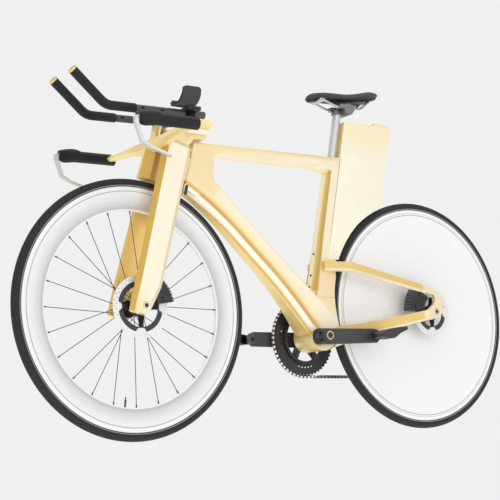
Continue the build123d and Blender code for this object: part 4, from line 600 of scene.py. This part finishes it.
def turned_metal(name, axle, light, dark, rough, metal=1.0):
    """Lathe-turned or ground metal."""
    s = Shade(name, light, rough, metal)
    grain = turned_grain(s, axle)
    s.colour(s.mix(s.span(grain, 0.25, 0.75), dark, light))
    s.rough(s.span(grain, 0.2, 0.8, rough - 0.06, rough + 0.1))
    s.bump(grain, 0.00004)
    return s.material


def brushed_metal(name, light, dark, rough=0.32, stretch=(20, 900, 900), metal=1.0):
    """Metal with fine straight grain."""
    s = Shade(name, light, rough, metal)
    grain = s.noise(1.0, 4, 0.6, stretch=stretch)
    s.colour(s.mix(s.span(grain, 0.25, 0.75), dark, light))
    s.rough(s.span(grain, 0.2, 0.8, rough - 0.07, rough + 0.1))
    s.bump(grain, 0.00003)
    return s.material


def spine_shade_paint():
    """Satin recess behind the nose, grey-brown with painted shade at the top and gold below."""
    s = Shade("spine_shade_paint", linear(206, 170, 112), 0.5)
    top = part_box("nose_spine")[1].z
    cloud = s.span(s.noise(16, 4), 0.3, 0.7, 0.0, 0.25)
    # painted shade: grey-brown where the recess is deep near the top
    base = s.mix(s.span(s.z, top - 0.06, top - 0.04), linear(222, 184, 112),
                 linear(168, 142, 116))
    s.colour(s.mix(cloud, base, linear(190, 158, 112)))
    s.rough(s.span(cloud, 0.0, 0.25, 0.44, 0.56))
    s.bump(s.noise(420, 2), 0.00005)
    return s.material


def chain_plates():
    """Dark chain with bright plates, one to each pitch, counted by angle on the ring and by x
    on the straight runs; the plates' brightness is painted highlight, near white on the ring
    and dimmed by painted shade on the runs, and on the ring only the plates' outer half is
    bright."""
    s = Shade("chain_plates", grey(60, 2), 0.32, 0.5)
    radius, angle = s.polar(CRANK_AXIS)
    on_ring = s.span(radius, CHAIN_RING_RADIUS + 0.008, CHAIN_RING_RADIUS + 0.005)
    turns = s.times(angle, CHAIN_RING_TEETH)
    links = s.times(s.x, 2 * pi / CHAIN_PITCH)
    plate = s.span(s.math("SINE", s.mix(on_ring, links, turns)), -0.5, -0.1)
    outer = s.span(radius, CHAIN_RING_RADIUS - 0.0012, CHAIN_RING_RADIUS - 0.0002)
    plate = s.times(plate, s.mix(on_ring, (1, 1, 1, 1), outer))
    # painted highlight on the plates, dimmed on the runs as painted shade
    bright = s.mix(on_ring, grey(132, 2), grey(250, 0))
    grain = s.noise(900, 2)
    base = s.mix(plate, grey(34, 2), bright)
    s.colour(s.mix(s.span(grain, 0.3, 0.7, 0.0, 0.2), base, grey(90, 2)))
    s.rough(s.span(grain, 0.3, 0.7, 0.28, 0.42))
    s.bump(grain, 0.00005)
    return s.material


def moulded_black(name, tone, rough, shine=0.3, mark=None):
    """Black moulded or anodised part, with rubbed corners a little lighter and, if asked, a
    pale ring round an axle at mark."""
    s = Shade(name, grey(tone), rough, Specular_IOR_Level=shine)
    cloud = s.noise(14, 5, 0.6)
    worn = s.node("ShaderNodeNewGeometry").outputs["Pointiness"]
    base = s.mix(s.span(cloud, 0.3, 0.7), grey(tone - 5), grey(tone + 9))
    base = s.mix(s.times(s.span(worn, 0.52, 0.62), 0.35), base, grey(110, 2))
    if mark:
        base = s.mix(s.ring(s.polar(mark)[0], 0.0056, 0.0008), base, grey(214, -2))
    s.colour(base)
    s.rough(s.span(cloud, 0.3, 0.7, rough - 0.05, rough + 0.08))
    s.bump(s.noise(700, 2), 0.00006)
    return s.material


def rubber_grip(name, tone):
    """Matte rubber with fine pebbled texture."""
    s = Shade(name, grey(tone), 0.5, Specular_IOR_Level=0.3)
    pebble = s.voronoi(620)
    base = s.mix(s.span(s.noise(18, 4), 0.3, 0.7), grey(tone - 6), grey(tone + 8))
    s.colour(s.mix(s.span(pebble, 0.2, 0.7, 0.0, 0.5), base, grey(tone - 14)))
    s.bump(pebble, 0.0002)
    return s.material


def pad_cover(name, tone):
    """Synthetic leather: fine creased grain and a soft sheen."""
    s = Shade(name, grey(tone, 0), 0.58, Sheen_Weight=0.08, Specular_IOR_Level=0.4)
    crease = s.voronoi(900, feature="DISTANCE_TO_EDGE")
    cloud = s.noise(12, 5, 0.6)
    base = s.mix(s.span(cloud, 0.3, 0.7), grey(tone - 7, 0), grey(tone + 9))
    s.colour(s.mix(s.span(crease, 0.0, 0.12, 0.45, 0.0), base, grey(12, 0)))
    s.rough(s.span(cloud, 0.3, 0.7, 0.5, 0.66))
    s.bump(s.span(crease, 0.0, 0.25), 0.00016)
    s.bump(s.noise(300, 3), 0.0001)
    return s.material


BLACK = moulded_black("black_parts", 12, 0.4, shine=0.2)
# tones of the wheel sides by radius; the valve is black and stands inside the front rim; on the
# front
# # rim, a painted highlight at the inner edge and a grey band of painted shade outside it that
# lightens outward
RIM_TONES_AND_SHADING = [(0.2500, 24), (0.2516, 24), (0.2518, 250), (0.2545, 255), (0.2562, 200),
             (0.262, 208), (0.272, 222), (0.286, 236), (0.3000, 243), (0.3020, 150),
             (0.3040, 250), (0.3120, 255)]
DISC_TONES = [(0.05, 246), (0.2960, 247), (0.2988, 160), (0.3008, 252), (0.3026, 252),
              (0.3042, 176), (0.3058, 253), (0.3120, 255)]
# every material with the CAD nodes that wear it; the others are plain black parts
MATERIALS = {
    frame_gold(): ["main_frame"],
    box_gold(): ["storage_box", "storage_lid"],
    fork_gold(): ["fork_leg_left", "fork_leg_right"],
    # crown, steerer, base bar and nose: light and shade painted by face, as in gold_paint
    finish_gold(*gold_paint("crown_gold", CREAM, GOLD_TONE, SHADED_FRONT_GOLD, LIT_UNDERSIDE_GOLD,
                            SHADED_INNER_GOLD)): ["fork_crown", "steerer"],
    stem_gold(): ["stem"],
    stay_gold(): ["seatstay_left", "seatstay_right", "chainstay_left", "chainstay_right"],
    finish_gold(*gold_paint("bar_gold", linear(246, 220, 164), linear(255, 230, 158),
                            linear(228, 184, 80), linear(246, 218, 152), SHADED_INNER_GOLD)):
        ["base_bar", "nose_fairing"],
    spine_shade_paint(): ["nose_spine"],
    brushed_metal("gold_metal", linear(244, 220, 156), linear(226, 190, 116), 0.3):
        ["bar_plugs", "crank_spindle"],
    brushed_metal("silver_alloy", grey(222, -1), grey(200, -1), 0.34, metal=0.6):
        ["seatpost", "brake_lever_left", "brake_lever_right"],
    brushed_metal("bright_steel", linear(205, 206, 208), linear(170, 171, 174), 0.26):
        ["saddle_rails"],
    brushed_metal("grey_steel", grey(152, 2), grey(118, 2)): ["saddle_clamp"],
    brushed_metal("spoke_black", grey(58, 2), grey(34, 2), 0.34, (300, 300, 300), 0.7):
        ["front_spokes"],
    turned_metal("cassette_steel", REAR, grey(150, 2), grey(100, 3), 0.36): ["cassette"],
    turned_metal("ring_alloy", CRANK_AXIS, grey(66, 2), grey(42, 2), 0.40, 0.4):
        ["outer_ring", "inner_ring"],
    rotor_steel("front_rotor_steel", FRONT): ["front_rotor"],
    rotor_steel("rear_rotor_steel", REAR): ["rear_rotor"],
    chain_plates(): ["chain"],
    moulded_black("gloss_black", 22, 0.3): ["crank_arm_left"],
    moulded_black("caliper_black", 46, 0.34): ["front_caliper", "rear_caliper"],
    moulded_black("shaded_black", 50, 0.36): ["extension_left", "extension_right"],
    moulded_black("marked_black", 62, 0.36, mark=PEDAL_EYE): ["crank_arm_right"],
    rubber_grip("grip_rubber", 30):
        ["grip_left", "grip_right", "extension_grip_left", "extension_grip_right"],
    pad_cover("saddle_cover", 58): ["saddle_pad"],
    pad_cover("arm_cover", 32): ["arm_pad_left", "arm_pad_right"],
    tyre_rubber("front_tyre", FRONT): ["front_tyre"],
    tyre_rubber("rear_tyre", REAR): ["rear_tyre"],
    white_wheel("front_rim_paint", FRONT, RIM_TONES_AND_SHADING): ["front_rim"],
    white_wheel("rear_disc_paint", REAR, DISC_TONES): ["rear_disc"],
}
finishes = {node: material for material, group in MATERIALS.items() for node in group}
for name, obj in NODES.items():
    obj.data.materials.clear()
    obj.data.materials.append(finishes.get(name, BLACK))


# ------------------------------------------------------------------ small fittings
BOLT_HEIGHTS = (-0.4836, -0.546, -0.579, -0.608)
BOLT_RADIUS, BOLT_HEAD = 0.0032, 0.0024


def bottle_bolts():
    """Four dark button-head bolts on the front edge of the seat tube."""
    out = Vector((sin(SEAT_ANGLE), 0, cos(SEAT_ANGLE)))
    turn = out.to_track_quat("Z", "Y").to_matrix().to_4x4()
    shape = bmesh.new()
    for z in BOLT_HEIGHTS:
        x = SEAT_FRONT[0] - (z - SEAT_FRONT[1]) / tan(SEAT_ANGLE)
        place = Matrix.Translation(Vector((x, 0, z)) + out * (BOLT_HEAD / 2))
        bmesh.ops.create_cone(shape, cap_ends=True, segments=24, radius1=BOLT_RADIUS,
                              radius2=BOLT_RADIUS * 0.7, depth=BOLT_HEAD, matrix=place @ turn)
    mesh = bpy.data.meshes.new("bottle_bolts")
    shape.to_mesh(mesh)
    shape.free()
    bolts = bpy.data.objects.new("bottle_bolts", mesh)
    bpy.context.scene.collection.objects.link(bolts)
    mesh.materials.append(BLACK)
    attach(bolts, "frame")


bottle_bolts()


# ------------------------------------------------------------------ soft goods
CHANNEL_DEPTH, CHANNEL_HALF = 0.0028, 0.011     # relief channel along the saddle
CHANNEL_MARGIN, CHANNEL_RISE = 0.03, 0.05       # its start from each end, and its run-in
CLOTH_STEPS = 20


def applied(obj):
    """The object's mesh with its modifiers applied; the modifiers themselves go."""
    depsgraph = bpy.context.evaluated_depsgraph_get()
    mesh = bpy.data.meshes.new_from_object(obj.evaluated_get(depsgraph))
    obj.modifiers.clear()
    return mesh


def remeshed(name, node, voxel, inset):
    """A closed, even mesh of a CAD node's shape, drawn in so that stuffing can fill it."""
    obj = bpy.data.objects.new(name, NODES[node].data.copy())
    bpy.context.scene.collection.objects.link(obj)
    remesh = obj.modifiers.new("remesh", "REMESH")
    remesh.mode, remesh.voxel_size = "VOXEL", voxel
    obj.data = applied(obj)
    for vertex, normal in [(v, v.normal.copy()) for v in obj.data.vertices]:
        vertex.co -= normal * inset
    return obj


def relax(obj, rounds):
    """Even out the voxel steps."""
    smooth = obj.modifiers.new("smooth", "SMOOTH")
    smooth.factor, smooth.iterations = 0.5, rounds
    obj.data = applied(obj)


def stuff(obj, pressure, cap):
    """Cloth pressure swells the piece; no point moves further than cap."""
    scene = bpy.context.scene
    rest = [v.co.copy() for v in obj.data.vertices]
    cloth = obj.modifiers.new("stuffing", "CLOTH")
    cloth.settings.use_pressure = True
    cloth.settings.uniform_pressure_force = pressure
    cloth.settings.effector_weights.gravity = 0
    cloth.settings.mass = 0.3
    for step in range(1, CLOTH_STEPS + 1):
        scene.frame_set(step)
    swollen = applied(obj)
    scene.frame_set(1)
    for old, vertex, new in zip(rest, obj.data.vertices, swollen.vertices):
        move = new.co - old
        vertex.co = old + (move if move.length < cap else move * (cap / move.length))


def relief_channel(obj, low, high):
    """Shallow channel along the middle of a saddle's top."""
    def share(distance):
        return min(max(distance / CHANNEL_RISE, 0), 1)
    for vertex in obj.data.vertices:
        x, y, _ = vertex.co
        if vertex.normal.z > 0.3:
            along = share(x - low.x - CHANNEL_MARGIN) * share(high.x - CHANNEL_MARGIN - x)
            across = max(0, 1 - (y / CHANNEL_HALF) ** 2) ** 2
            vertex.co.z -= CHANNEL_DEPTH * along * across


def finished_pad(obj, node, body):
    """Smooth the cover, give it its material and let it stand for its CAD node."""
    subdivide = obj.modifiers.new("subdivide", "SUBSURF")
    subdivide.levels = subdivide.render_levels = 1
    obj.data.materials.clear()
    obj.data.materials.append(finishes[node])
    for polygon in obj.data.polygons:
        polygon.use_smooth = True
    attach(obj, body)
    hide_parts(node)


saddle = remeshed("saddle_cover", "saddle_pad", voxel=0.003, inset=0.0012)
relax(saddle, 3)
stuff(saddle, pressure=4.0, cap=0.0022)
relief_channel(saddle, *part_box("saddle_pad"))
finished_pad(saddle, "saddle_pad", "frame")

for hand in ("left", "right"):
    pad = remeshed(f"arm_cushion_{hand}", f"arm_pad_{hand}", voxel=0.0025, inset=0.001)
    relax(pad, 3)
    stuff(pad, pressure=4.0, cap=0.0018)
    finished_pad(pad, f"arm_pad_{hand}", "fork")
